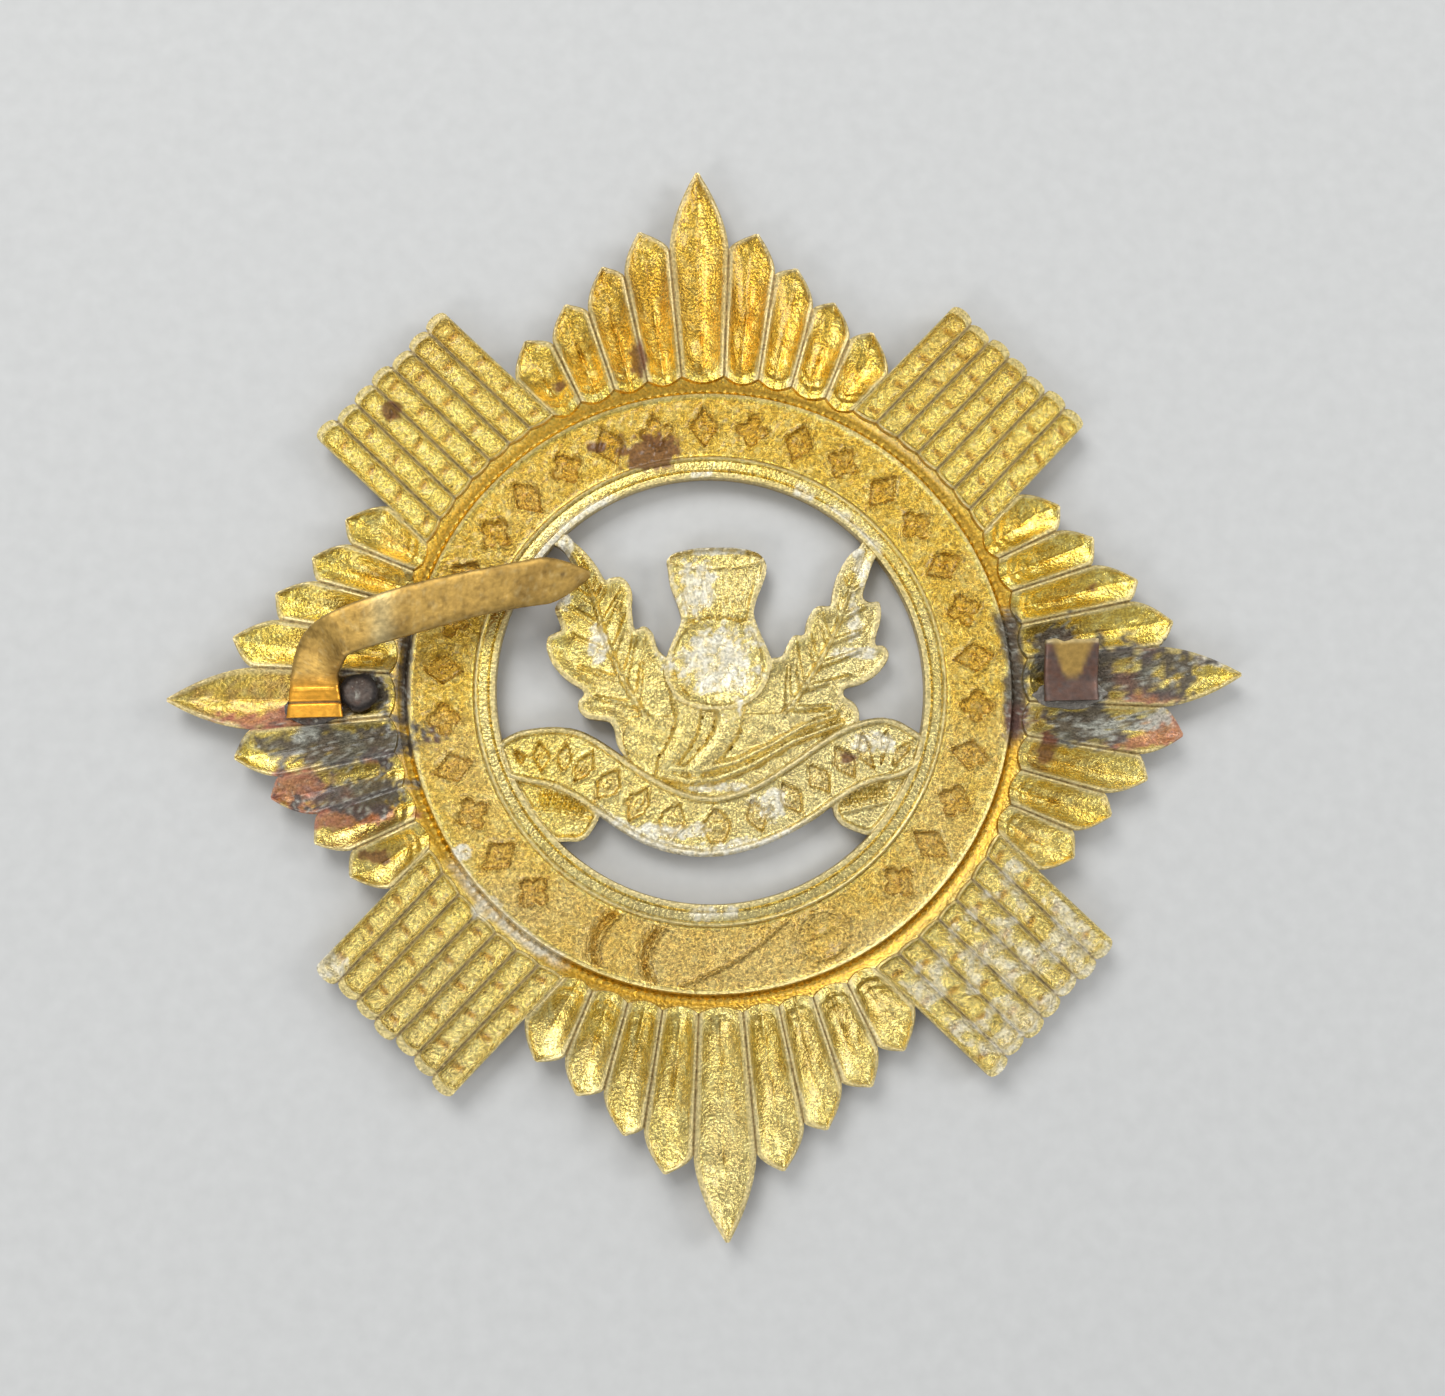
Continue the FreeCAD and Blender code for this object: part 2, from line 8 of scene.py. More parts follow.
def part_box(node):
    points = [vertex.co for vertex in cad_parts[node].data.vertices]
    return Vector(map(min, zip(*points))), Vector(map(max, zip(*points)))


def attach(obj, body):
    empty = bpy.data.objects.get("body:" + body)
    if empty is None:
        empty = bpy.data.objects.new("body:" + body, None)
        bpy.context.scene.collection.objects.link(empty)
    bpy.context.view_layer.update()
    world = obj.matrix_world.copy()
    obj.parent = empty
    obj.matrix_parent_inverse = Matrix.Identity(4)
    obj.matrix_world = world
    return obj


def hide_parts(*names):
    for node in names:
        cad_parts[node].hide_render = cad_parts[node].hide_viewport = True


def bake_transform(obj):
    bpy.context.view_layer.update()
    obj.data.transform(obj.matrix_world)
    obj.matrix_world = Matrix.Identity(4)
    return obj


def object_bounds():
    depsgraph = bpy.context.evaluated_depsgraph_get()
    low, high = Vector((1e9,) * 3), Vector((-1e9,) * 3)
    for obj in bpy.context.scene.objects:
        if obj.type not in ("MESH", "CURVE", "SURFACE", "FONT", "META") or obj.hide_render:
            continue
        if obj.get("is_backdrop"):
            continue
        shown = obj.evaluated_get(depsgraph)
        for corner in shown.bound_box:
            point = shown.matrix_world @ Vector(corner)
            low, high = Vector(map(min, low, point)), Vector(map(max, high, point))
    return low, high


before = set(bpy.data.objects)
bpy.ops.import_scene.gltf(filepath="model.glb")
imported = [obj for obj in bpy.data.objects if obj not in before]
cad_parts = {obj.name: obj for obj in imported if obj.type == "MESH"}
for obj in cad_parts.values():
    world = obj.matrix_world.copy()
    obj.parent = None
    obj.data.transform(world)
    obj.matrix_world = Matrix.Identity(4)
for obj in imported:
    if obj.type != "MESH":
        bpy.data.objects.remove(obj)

# The badge lies face down, so what shows is its back. Lengths below are millimetres in the
# CAD frame (+Z out of the back, +Y to the badge's top) and become metres in make_piece().
MM = 0.001
CAD_LOW, CAD_HIGH = (corner.copy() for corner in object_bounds())

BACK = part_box("left_solder_bed")[0].z / MM
SHEET = 0.8
FRONT = BACK - SHEET

OPENING = 13.2
STRAP_EDGE = 20.0
RAY_BASE = 19.7
FIELD_INNER, FIELD_OUTER = 14.7, 18.3
FIELD_MIDDLE = 16.45
ARM_HALF = 5.7
FRONT_MARK = -1.0

GROUP_TURNS = (0.0, 90.0, 180.0, 270.0)
ARM_TURNS = (45.0, 135.0, 225.0, 315.0)


# ---- noise and small helpers

def lattice(x, y, seed):
    """Repeatable pseudo-random value in 0..1 for each whole-number lattice point."""
    value = np.sin(x * 127.1 + y * 311.7 + seed * 74.7) * 43758.5453
    return value - np.floor(value)


def noise(x, y, scale, seed=0):
    """Smooth value noise in 0..1, with features about `scale` across."""
    u, v = np.asarray(x) / scale, np.asarray(y) / scale
    column, row = np.floor(u), np.floor(v)
    fu, fv = u - column, v - row
    fu, fv = fu * fu * (3 - 2 * fu), fv * fv * (3 - 2 * fv)
    low = lattice(column, row, seed) * (1 - fu) + lattice(column + 1, row, seed) * fu
    high = lattice(column, row + 1, seed) * (1 - fu) + lattice(column + 1, row + 1, seed) * fu
    return low * (1 - fv) + high * fv


def fractal(x, y, scale, seed=0):
    """Three octaves of noise in 0..1."""
    total = noise(x, y, scale, seed) * 0.55 + noise(x, y, scale / 2.1, seed + 5) * 0.3
    return total + noise(x, y, scale / 4.3, seed + 9) * 0.15


def step(low, high, value):
    """Smooth rise from 0 at low to 1 at high."""
    share = unit((np.asarray(value) - low) / (high - low))
    return share * share * (3 - 2 * share)


def fall(low, high, value):
    """Smooth fall from 1 at low to 0 at high."""
    return 1 - step(low, high, value)


def bell(distance, width):
    """1 on a line, falling to 0 at `width` from it."""
    return fall(0, width, np.abs(distance))


def unit(value):
    return np.clip(value, 0, 1)


def turn_xy(x, y, degrees):
    angle = math.radians(degrees)
    return x * math.cos(angle) - y * math.sin(angle), x * math.sin(angle) + y * math.cos(angle)


# ---- meshes

class Mesh:
    """Vertices, faces and per-vertex marks gathered from closed slabs."""

    def __init__(self):
        self.points, self.faces, self.marks, self.count = [], [], [], 0

    def add(self, points, faces, marks):
        self.points.append(points)
        self.faces.append(np.asarray(faces) + self.count)
        self.marks.append(marks)
        self.count += len(points)

    def shell(self, upper, lower, rim, closed=False):
        """Closed solid between two grids of points; closed joins the last row to the first."""
        rows, columns = upper.shape[:2]
        index = np.arange(rows * columns).reshape(rows, columns)
        if closed:
            index = np.vstack([index, index[:1]])
        quads = np.stack([index[:-1, :-1], index[1:, :-1], index[1:, 1:], index[:-1, 1:]], -1)
        quads = quads.reshape(-1, 4)
        size = rows * columns
        sides = [index[:, 0][::-1], index[:, -1]]
        if not closed:
            sides += [index[0, :], index[-1, :][::-1]]
        walls = [np.stack([s[:-1], s[1:], s[1:] + size, s[:-1] + size], -1) for s in sides]
        faces = np.vstack([quads, quads[:, ::-1] + size] + walls)
        i, j = rows // 2, columns // 2
        ahead, aside = upper[i, j] - upper[i - 1, j], upper[i, j] - upper[i, j - 1]
        if np.dot(np.cross(ahead, aside), upper[i, j] - lower[i, j]) < 0:
            faces = faces[:, ::-1]
        marks = np.concatenate([rim.reshape(-1), np.full(size, FRONT_MARK)])
        self.add(np.vstack([upper.reshape(-1, 3), lower.reshape(-1, 3)]), faces, marks)

    def slab(self, x, y, top, bottom, rim, closed=False):
        """Closed solid between two height grids over the same places. rim is 1 on the pale
        high edges, up to 2 along the seams, which get painted shade, and over 2 where lacquer
        pools; 0 in the hollows."""
        upper, lower = np.stack([x, y, top], -1), np.stack([x, y, bottom], -1)
        self.shell(upper, lower, np.broadcast_to(rim, x.shape), closed)


def add_object(name, data):
    added = bpy.data.objects.new(name, data)
    bpy.context.collection.objects.link(added)
    return added


def make_piece(name, mesh, material, paint, crease=42.0):
    """Blender object of a gathered mesh, smooth except over its sharp edges. paint gives each
    point its colour, roughness, metallic share and grittiness."""
    points = np.vstack(mesh.points)
    faces = [tuple(face) for block in mesh.faces for face in block.tolist()]
    data = bpy.data.meshes.new(name)
    data.from_pydata((points * MM).tolist(), [], faces)
    tint, rough, metal, grit = paint(points, np.concatenate(mesh.marks))
    colour = data.attributes.new("tint", "FLOAT_COLOR", "POINT")
    opaque = np.concatenate([tint, np.ones((len(points), 1))], 1)
    colour.data.foreach_set("color", opaque.astype(np.float32).reshape(-1))
    for label, values in (("rough", rough), ("metal", metal), ("grit", grit)):
        layer = data.attributes.new(label, "FLOAT", "POINT")
        layer.data.foreach_set("value", np.broadcast_to(values, len(points)).astype(np.float32))
    data.polygons.foreach_set("use_smooth", np.ones(len(data.polygons), dtype=bool))
    data.set_sharp_from_angle(angle=math.radians(crease))
    data.materials.append(material)
    return add_object(name, data)


# ---- colours

def linear(red, green, blue):
    """Linear colour of an 8-bit sRGB one."""
    share = np.array([red, green, blue]) / 255
    return np.where(share < 0.04045, share / 12.92, ((share + 0.055) / 1.055) ** 2.4)


GOLD = linear(228, 198, 88)
BRIGHT_GOLD = linear(248, 230, 138)
LACQUER = linear(214, 156, 34)
PALE = linear(212, 194, 142)
FADED = linear(214, 199, 146)
# Whitish colour for places that are partly worn gilding and partly painted glare.
WEAR_AND_GLARE_WHITE = linear(232, 226, 206)
# Dark brown: painted shade in the seams between rays and between flutes, and the dull patch on the left
# ray.
SEAM_SHADE_AND_DULL_BROWN = linear(120, 92, 50)
SOOT = linear(86, 78, 74)
RUST = linear(112, 60, 26)
COPPER = linear(176, 104, 86)
# Pale grey for crust and flecks, and for the painted highlight on the solder drop.
CRUST_AND_GLINT_GREY = linear(198, 198, 184)
VERDIGRIS = linear(150, 164, 148)
BRASS = linear(186, 150, 80)
# Orange for the painted reflection of the gilt plate on the left prong's root.
ROOT_REFLECTED_ORANGE = linear(242, 172, 58)
OLD_BRASS = linear(128, 98, 50)
SOLDER = linear(132, 126, 116)

# Marks on the back of the badge: middle and half-size of each spot, in millimetres, and the
# radius, half-width, first and last degree of each arc.
# The white spots and arcs are partly worn gilding and partly painted glare, such as on the inner rim's
# chamfer.
WHITE_WEAR_AND_GLARE_SPOTS = (
    (0.45, 1.6, 2.7, 2.6), (-0.7, -13.8, 1.7, 0.4), (-13.9, -13, 1, 0.6), (-23.3, -16, 1.1, 1),
    (-15.6, -9.6, 0.7, 0.5), (-3.2, -8.7, 3.2, 0.5), (2, -9.6, 2.4, 0.45), (-9.2, 6.4, 0.8, 1.6),
    (0.5, 8.6, 2.6, 0.3), (9, 4.4, 0.5, 2), (9.5, 7.4, 0.5, 1.5), (-8.7, 9, 0.5, 0.9),
    (-0.9, 6.4, 1.3, 1.7), (3.4, -7.2, 1.3, 0.9), (9.6, -3.6, 1.6, 0.8), (0.4, -6.1, 1.6, 0.3),
    (9, 2, 1.5, 0.4), (-6.9, 3, 0.6, 1.3), (31.5, 0.9, 0.4, 0.4), (30.5, 1, 0.5, 0.45),
)
WHITE_WEAR_AND_GLARE_ARCS = (
    (13.45, 0.3, 114, 146), (13.45, 0.22, 88, 94), (13.5, 0.3, 60, 66), (18.9, 0.5, 212, 241),
    (13.6, 0.16, 35, 58), (10.15, 0.42, 222, 306),
)
SOOT_SPOTS = (
    (-22.6, -3, 5.2, 1.6), (-22, -6, 3.6, 1.3), (25.6, 0.5, 4.8, 2), (-21.2, 0.3, 1.6, 1.6),
    (23, -2.9, 3.6, 1.3), (21.6, 1.6, 1.6, 2.2),
)
SOOT_ARCS = ((18.82, 0.42, 166, 187), (18.9, 0.8, -13, 14))
COPPER_SPOTS = (
    (-25, -5.6, 2.9, 1.5), (-22.8, -7.2, 4.4, 0.8), (-26.6, -1.3, 3, 0.7), (28.2, -3.3, 1.8, 1.1),
    (26.6, -4, 2.6, 0.5), (26.6, -1.3, 2.2, 0.5), (-20.6, -3.8, 1.2, 0.6), (27.2, 1.4, 0.8, 0.5),
)
CRUST_SPOTS = ((26.4, -2.6, 2.2, 0.75), (24.4, -3.1, 1.4, 0.6), (-24.8, -2.3, 1.0, 0.5))
CLEAN_SPOTS = ((25.8, 0.8, 1.0, 0.5), (-28.0, -3.8, 1.2, 0.6))
# Middle and radius of a pinhole, painted as a dark dot of shade.
PINHOLE_SHADE = (26.2, -2.45, 0.17)
RUST_SPOTS = (
    (-3.5, 14.7, 2, 1.3), (-19.4, 17.8, 0.75, 0.7), (-4.1, 20.8, 0.5, 1.3), (-9, 19.2, 0.8, 0.5),
    (-6.7, 15.3, 0.7, 0.4), (20.6, -4.3, 0.6, 1.4), (-20.6, -9.8, 1.1, 0.5), (24.1, 5.8, 0.3, 0.3),
    (8.4, -4.5, 0.7, 0.4),
)


def painted(base, layers):
    """Base colour under (colour, share) layers, each over the ones before it."""
    for colour, share in layers:
        base = base + (colour - base) * share[:, None]
    return base


def spots(x, y, table, ragged=1.2):
    """How far each point lies in any of several ragged ellipses, 0..1."""
    rough = (fractal(x, y, 0.9, 41) + 0.7 * fractal(x, y, 0.28, 42) - 0.85) * ragged
    total = np.zeros(len(x))
    for middle_x, middle_y, half_x, half_y in table:
        gap = np.hypot((x - middle_x) / half_x, (y - middle_y) / half_y)
        total = np.maximum(total, fall(0.7, 1.05, gap + rough))
    return total


def arcs(x, y, table):
    """How far each point lies in any of several ragged arcs round the badge, 0..1."""
    radius, degrees = np.hypot(x, y), np.degrees(np.arctan2(y, x))
    rough = (fractal(x, y, 0.8, 43) - 0.5) * 0.8
    total = np.zeros(len(x))
    for middle, width, start, end in table:
        half = (end - start) / 2
        turn = np.mod(degrees - (start + end) / 2 + 180, 360) - 180
        ends = fall(0.75, 1.05, np.abs(turn) / half + rough * 0.4)
        total = np.maximum(total, ends * fall(0.6, 1.1, np.abs(radius - middle) / width + rough))
    return total


def paint_plate(points, rim):
    """Gilt over brass: orange lacquer pooled in the hollows, worn pale edges with painted
    shade along the seams, white places that are partly worn and partly painted glare, scorched
    places and a pinhole painted as a dark dot of shade; the front is the same gilding with its
    high parts rubbed."""
    x, y, z = points.T
    radius = np.hypot(x, y)
    along = (np.abs(x) + np.abs(y)) / math.sqrt(2)
    aside = np.abs(np.abs(x) - np.abs(y)) / math.sqrt(2)
    on_arm = (along > RAY_BASE - 0.5) & (aside < ARM_HALF)
    on_field = (radius > FIELD_INNER) & (radius < FIELD_OUTER)
    on_rim = (radius > OPENING - 0.1) & (radius < OPENING + 1.08)
    broad, grain = fractal(x, y, 3.2, 51), fractal(x, y, 0.3, 53)
    depth = BACK - z
    trough = bell(radius - 19.1, 0.95) * step(0.42, 0.62, depth)
    hollow = step(0.25, 0.9, depth) * (0.16 + 0.5 * (broad - 0.3) + 0.004 * y) * (radius > OPENING)
    pool = np.maximum(hollow, trough * (0.35 + 0.4 * grain + 0.16 * step(0, 14, x - y)))
    deeper = 0.56 * step(16, 26, y) * (0.5 + broad) + 0.4 * on_field + 0.16 * (on_field * step(9, 15, -y))
    dulled = fall(1.3, 2.0, np.abs(y)) * step(20.4, 22.0, -x) * (0.4 + 0.6 * step(0.4, 0.6, broad))
    faded = 0.1 + 0.35 * on_rim - 0.012 * y + (0.42 + 0.03 * x) * (radius < OPENING)
    faded = np.clip(faded + 0.5 * (broad - 0.5), 0, 0.7) * (1 - trough)
    worn = unit(rim) * (rim < 2) * (0.4 + 0.6 * grain) * (1 - 0.6 * trough)
    south_east = ((x - y) / math.sqrt(2) > 20.5) & (np.abs(x + y) < 7.5)
    flutes = step(0.45, 0.56, broad * 0.3 + fractal(x, y, 1.1, 57) * 0.7) * south_east
    # White marks: partly worn gilding, partly painted glare.
    white_wear_and_glare = np.maximum.reduce([spots(x, y, WHITE_WEAR_AND_GLARE_SPOTS), arcs(x, y, WHITE_WEAR_AND_GLARE_ARCS), flutes * 0.8])
    streak = noise(x, y * 0.3, 0.28, 59)
    white_wear_and_glare = white_wear_and_glare * unit(0.35 + 0.5 * step(0.3, 0.6, grain) + 0.3 * (streak - 0.3))
    copper, rust = spots(x, y, COPPER_SPOTS), spots(x, y, RUST_SPOTS)
    soot = np.maximum(spots(x, y, SOOT_SPOTS, 1.4), arcs(x, y, SOOT_ARCS))
    burnt = soot * (0.86 + 0.14 * broad) * (1 - spots(x, y, CLEAN_SPOTS))
    ash = SOOT * (0.6 + 0.8 * grain[:, None])
    char = painted(ash, [(COPPER * 0.6, 0.45 * step(0.5, 0.7, broad))])
    flecks = step(0.6, 0.72, fractal(x, y, 0.17, 61)) * unit(soot + 0.3 * copper)
    crust = spots(x, y, CRUST_SPOTS) * step(0.3, 0.5, fractal(x, y, 0.35, 65))
    tint = painted(GOLD, [
        (LACQUER, np.clip(pool, 0, 0.95)),
        (BRIGHT_GOLD, step(0.5, 0.72, grain) * 0.75 * (1 - trough)),
        (LACQUER * 0.62, fall(0.2, 0.34, grain) * 0.5),
        (LACQUER * 0.72, deeper),
        (BRIGHT_GOLD, 0.3 * on_arm),
        (SEAM_SHADE_AND_DULL_BROWN * 1.5, np.clip(dulled * (0.45 + 0.8 * grain), 0, 0.85)),
        (COPPER * 0.6, dulled * step(0.5, 0.6, fractal(x, y, 0.45, 67)) * 0.8),
        (FADED, faded),
        (PALE, worn),
        # painted shade along the seams between rays and between flutes
        (SEAM_SHADE_AND_DULL_BROWN, unit(rim - 1) * (rim < 2)),
        (LACQUER * 0.66, unit(rim - 2)),
        (WEAR_AND_GLARE_WHITE, white_wear_and_glare),
        (COPPER, copper * (0.6 + 0.4 * grain)),
        (char, burnt),
        (VERDIGRIS, step(0.6, 0.72, fractal(x, y, 0.8, 63)) * burnt * 0.16),
        (CRUST_AND_GLINT_GREY, np.maximum(flecks * 0.6, crust * 0.8)),
        # painted shade: the pinhole is only a near-black dot
        (SOOT * 0.1, bell(np.hypot(x - PINHOLE_SHADE[0], y - PINHOLE_SHADE[1]) / PINHOLE_SHADE[2], 1.2)),
        (RUST * (0.7 + 0.6 * grain[:, None]), rust * 0.85),
    ])
    rough = 0.15 + 0.14 * grain + 0.16 * trough + 0.26 * worn + 0.16 * white_wear_and_glare
    rough = rough + 0.36 * burnt + 0.28 * rust + 0.2 * copper + 0.3 * dulled
    metal = 1.0 - 0.3 * white_wear_and_glare - 0.55 * burnt - 0.55 * rust - 0.3 * copper - 0.3 * worn
    grit = np.select([on_arm, on_field, radius < OPENING + 0.2], [1.2, 1.1, 0.6], 0.5) * (1 - 0.5 * trough)
    sunken = step(0.25, 0.8, z)
    front = painted(GOLD, [
        (BRIGHT_GOLD, (1 - sunken) * (0.3 + 0.6 * grain)),
        (LACQUER * 0.5, sunken * (0.35 + 0.45 * broad)),
        (PALE, fall(0.02, 0.3, z) * 0.3 * broad),
    ])
    back = rim >= 0
    tint = np.where(back[:, None], tint, front)
    rough = np.where(back, rough, 0.2 + 0.1 * grain + 0.16 * sunken)
    metal = np.where(back, metal, 1.0)
    grit = np.where(back, grit + 0.8 * burnt, 0.35)
    return tint, np.clip(rough, 0.12, 0.95), np.clip(metal, 0.05, 1), grit


def paint_prong(points, mark):
    """Dull tan brass with darker blotches and rubbed edges; its root is polished and carries a
    painted orange reflection of the gilt plate, with a painted shadow line across the foot and a
    painted highlight on the elbow's hump. The broken one is smoked, with a painted gold
    reflection down its middle."""
    x, y, z = points.T
    broad, grain = fractal(x, y + z, 1.6, 71), fractal(x, y + z, 0.3, 73)
    streaks = noise(x * 0.3, y + z, 0.12, 75)
    # painted shadow: a dark line across the foot where it stands off the plate
    foot_gap_shadow = bell(y + 0.42, 0.13) * (x < -20)
    # where the painted orange reflection of the gilt plate lies on the foot and riser
    root = fall(0.1, 1.5, y) * (x < 0) * (1 - foot_gap_shadow)
    # painted highlight on the hump at the elbow's bend
    hump = np.exp(-((x + 19.6) / 0.7) ** 2) * (x < 0)
    bright = painted(BRASS, [
        (OLD_BRASS, 0.55 * step(0.4, 0.8, broad)),
        (PALE * 0.95, 0.25 * step(0.6, 0.8, grain) + 0.2 * unit(mark)),
        (OLD_BRASS * 0.5, 0.35 * step(0.72, 0.8, streaks)),
        (SOOT * 0.5, foot_gap_shadow * 0.8),
        (ROOT_REFLECTED_ORANGE, root * 0.9),
        (PALE, hump * 0.55),
        (SOOT * 0.5, bell(np.hypot((x + 8.9) / 0.16, (y - 6.9) / 0.3), 1.0)),
    ])
    climb = (y - STUB_TOE) / STUB_REACH
    # painted reflection: a gold triangle widening up the broken stub's middle
    reflected_glint = fall(0.7, 1.2, np.abs(x - 22.1) / np.clip(0.3 + 1.15 * climb, 0.2, 2))
    smoked = painted(SOOT * 1.4, [
        (RUST * 1.6, 0.5 * grain),
        (BRASS * 1.05, unit(reflected_glint * step(0.02, 0.3, climb))),
        (PALE * 0.8, step(0.8, 0.88, climb) * 0.6),
    ])
    stub = x > 0
    tint = np.where(stub[:, None], smoked, bright)
    return tint, 0.4 + 0.12 * grain - 0.08 * root - 0.06 * hump, 0.95 - 0.25 * stub, 0.5


def paint_solder(points, mark):
    """Dull grey solder, burnt nearly black on the left side, with a rusty drop that has a painted highlight
    on top.
    """
    x, y, _ = points.T
    broad, grain = fractal(x, y, 0.8, 81), fractal(x, y, 0.25, 83)
    gap = np.hypot(x + 21.4, y - 0.2)
    on_drop = gap < 1.35
    tint = painted(SOLDER, [
        (SOOT * 0.75, np.where(x < 0, 0.8, 0.3) * (0.7 + 0.3 * broad)),
        (CRUST_AND_GLINT_GREY, step(0.68, 0.78, grain) * 0.5),
        (RUST, step(0.6, 0.8, broad) * 0.3),
        (RUST * 0.8, 0.35 * grain * on_drop),
        (SOOT * 0.35, bell(gap - 1.0, 0.35) * on_drop),
        # painted highlight: a pale speckled spot on top of the solder drop
        (CRUST_AND_GLINT_GREY, bell(np.hypot(x + 21.6, y), 0.45) * step(0.4, 0.6, grain) * 0.6),
    ])
    return tint, 0.42 + 0.25 * grain, 0.6, 1.2


# ---- rays

RAY_ANGLES = (-26.0, -19.6, -13.0, -7.2, 0.0, 7.2, 13.0, 19.6, 26.0)
RAY_TIPS = (24.75, 25.9, 27.5, 29.3, 32.95, 29.3, 27.5, 25.9, 24.75)
BOUNDS_AT_BASE = (-28.6, -22.9, -16.4, -10.2, -3.9, 3.9, 10.2, 16.4, 22.9, 28.6)
BOUNDS_AT_VALLEY = (-30.9, -23.1, -16.5, -10.3, -3.85, 3.85, 10.3, 16.5, 23.1, 30.9)
VALLEYS = (22.6, 23.7, 24.9, 26.6, 27.9, 27.9, 26.6, 24.9, 23.7, 22.6)
EDGE_SHARES = np.array([0, 0.03, 0.08, 0.15, 0.24, 0.34, 0.46, 0.58, 0.7, 0.82, 0.92, 0.97, 1.0])
RAY_DEPTH = 0.8
RAY_FLANGE = 0.19
ROWS_TO_VALLEY = 26
ROWS_TO_TIP = 22
BLUNT = 0.975


def ogive(share):
    """Half-width of a free tip, as a share of its start, with a rounded end."""
    return unit(1 - share ** 1.7) ** 0.95


def ray_side(index, side, tip, angle, lean):
    """Along and across places of one edge of a ray, from its inner end to its tip."""
    which = index + (1 if side > 0 else 0)
    base_turn = math.radians(BOUNDS_AT_BASE[which] - angle)
    valley_turn = math.radians(BOUNDS_AT_VALLEY[which] - angle)
    start = np.array([RAY_BASE * math.cos(base_turn), RAY_BASE * math.sin(base_turn)])
    valley = np.array([VALLEYS[which] * math.cos(valley_turn), VALLEYS[which] * math.sin(valley_turn)])
    inner = np.linspace(0, 1, ROWS_TO_VALLEY)[:, None] ** 1.35
    joined = start + (valley - start) * inner
    outer = 1 - (1 - np.linspace(0, 1, ROWS_TO_TIP + 1)[1:]) ** 1.35
    free_along = valley[0] + (tip - valley[0]) * outer
    free_across = valley[1] * ogive(outer * BLUNT) + lean * outer ** 2
    return np.vstack([joined, np.stack([free_along, free_across], -1)])


def ray_slab(mesh, index, turn):
    """One ray: a boat-shaped hollow with a crease behind, a keel in front."""
    angle = RAY_ANGLES[index]
    tip = RAY_TIPS[index] - 0.3 * lattice(index, turn, 17) * (index != 4)
    lean = 0.55 * (lattice(index, turn, 19) - 0.5) * (index != 4)
    right, left = ray_side(index, -1, tip, angle, lean), ray_side(index, 1, tip, angle, lean)
    shares = np.concatenate([EDGE_SHARES / 2, 1 - EDGE_SHARES[::-1][1:] / 2])
    along = right[:, :1] + (left[:, :1] - right[:, :1]) * shares
    across = right[:, 1:] + (left[:, 1:] - right[:, 1:]) * shares
    half = np.abs(left[:, 1:] - right[:, 1:]) / 2
    offset = np.abs(shares * 2 - 1)[None, :]
    inset = (1 - offset) * half
    row = np.linspace(0, 1, len(right))[:, None]
    along = along - 0.32 * (1 - offset ** 2) * bell(row, 0.1)
    reach = np.hypot(along, across)
    run = step(RAY_BASE - 0.1, RAY_BASE + 0.9, reach)
    fade = 1 - step(0.45, 1.0, (along - RAY_BASE) / (tip - RAY_BASE)) * 0.62
    depth = RAY_DEPTH * (0.45 + 0.55 * run) * fade * step(0.05, 0.95, half)
    share = unit((inset - RAY_FLANGE) / np.maximum(half - RAY_FLANGE, 0.05))
    bowl = 1 - (1 - share) ** 1.8
    crease = 0.1 * bell(inset - half, 0.15) * (0.4 + fractal(along, across * 0, 1.6, 13 + index))
    grain = fractal(along * 0.55, across, 0.42, 11 + index + turn) - 0.5
    scored = noise(along * 0.16, across, 0.17, 15 + index) - 0.5
    top = BACK - depth * bowl - crease * fade + (0.2 * grain + 0.07 * scored) * step(0.05, 0.4, share)
    for place in (0.5, 1.15):
        lip = bell(along - RAY_BASE - place + inset * 0.35, 0.24)
        top = top + 0.14 * lip * step(0.0, 0.3, share) * (half > 0.7)
    split = bell(along - 28.7 - 0.25 * across, 0.16) * (index == 4) * (turn == 270.0)
    top = top - 0.12 * split
    top = top - 0.09 * fall(0.0, 0.12, inset) * step(0.1, 0.4, half)
    keel = 1 - (1 - unit(inset / np.maximum(half, 0.05))) ** 1.5
    bottom = FRONT - RAY_DEPTH * 0.95 * keel * fade
    x, y = turn_xy(along, across, angle + turn)
    # rim: pale worn flange edges, and painted shade in the seam where neighbouring rays join
    rim = fall(0.2, 0.4, inset) + 0.85 * fall(0.0, 0.1, inset) * (row < 0.54)
    mesh.slab(x, y, top, bottom, rim)


def make_rays(material):
    mesh = Mesh()
    for turn in GROUP_TURNS:
        for index in range(len(RAY_ANGLES)):
            ray_slab(mesh, index, turn)
    return make_piece("star_rays", mesh, material, paint_plate)


# ---- fluted arms

FLUTES = 7
FLUTE_WIDTH = 1.594
ARM_REACH = 28.55
FLUTE_DEPTH = 0.4
CELL_LENGTH = 2.35
FLUTE_SHARES = np.array([0, 0.04, 0.09, 0.16, 0.25, 0.35, 0.45, 0.55, 0.65, 0.75, 0.84, 0.91, 0.96])


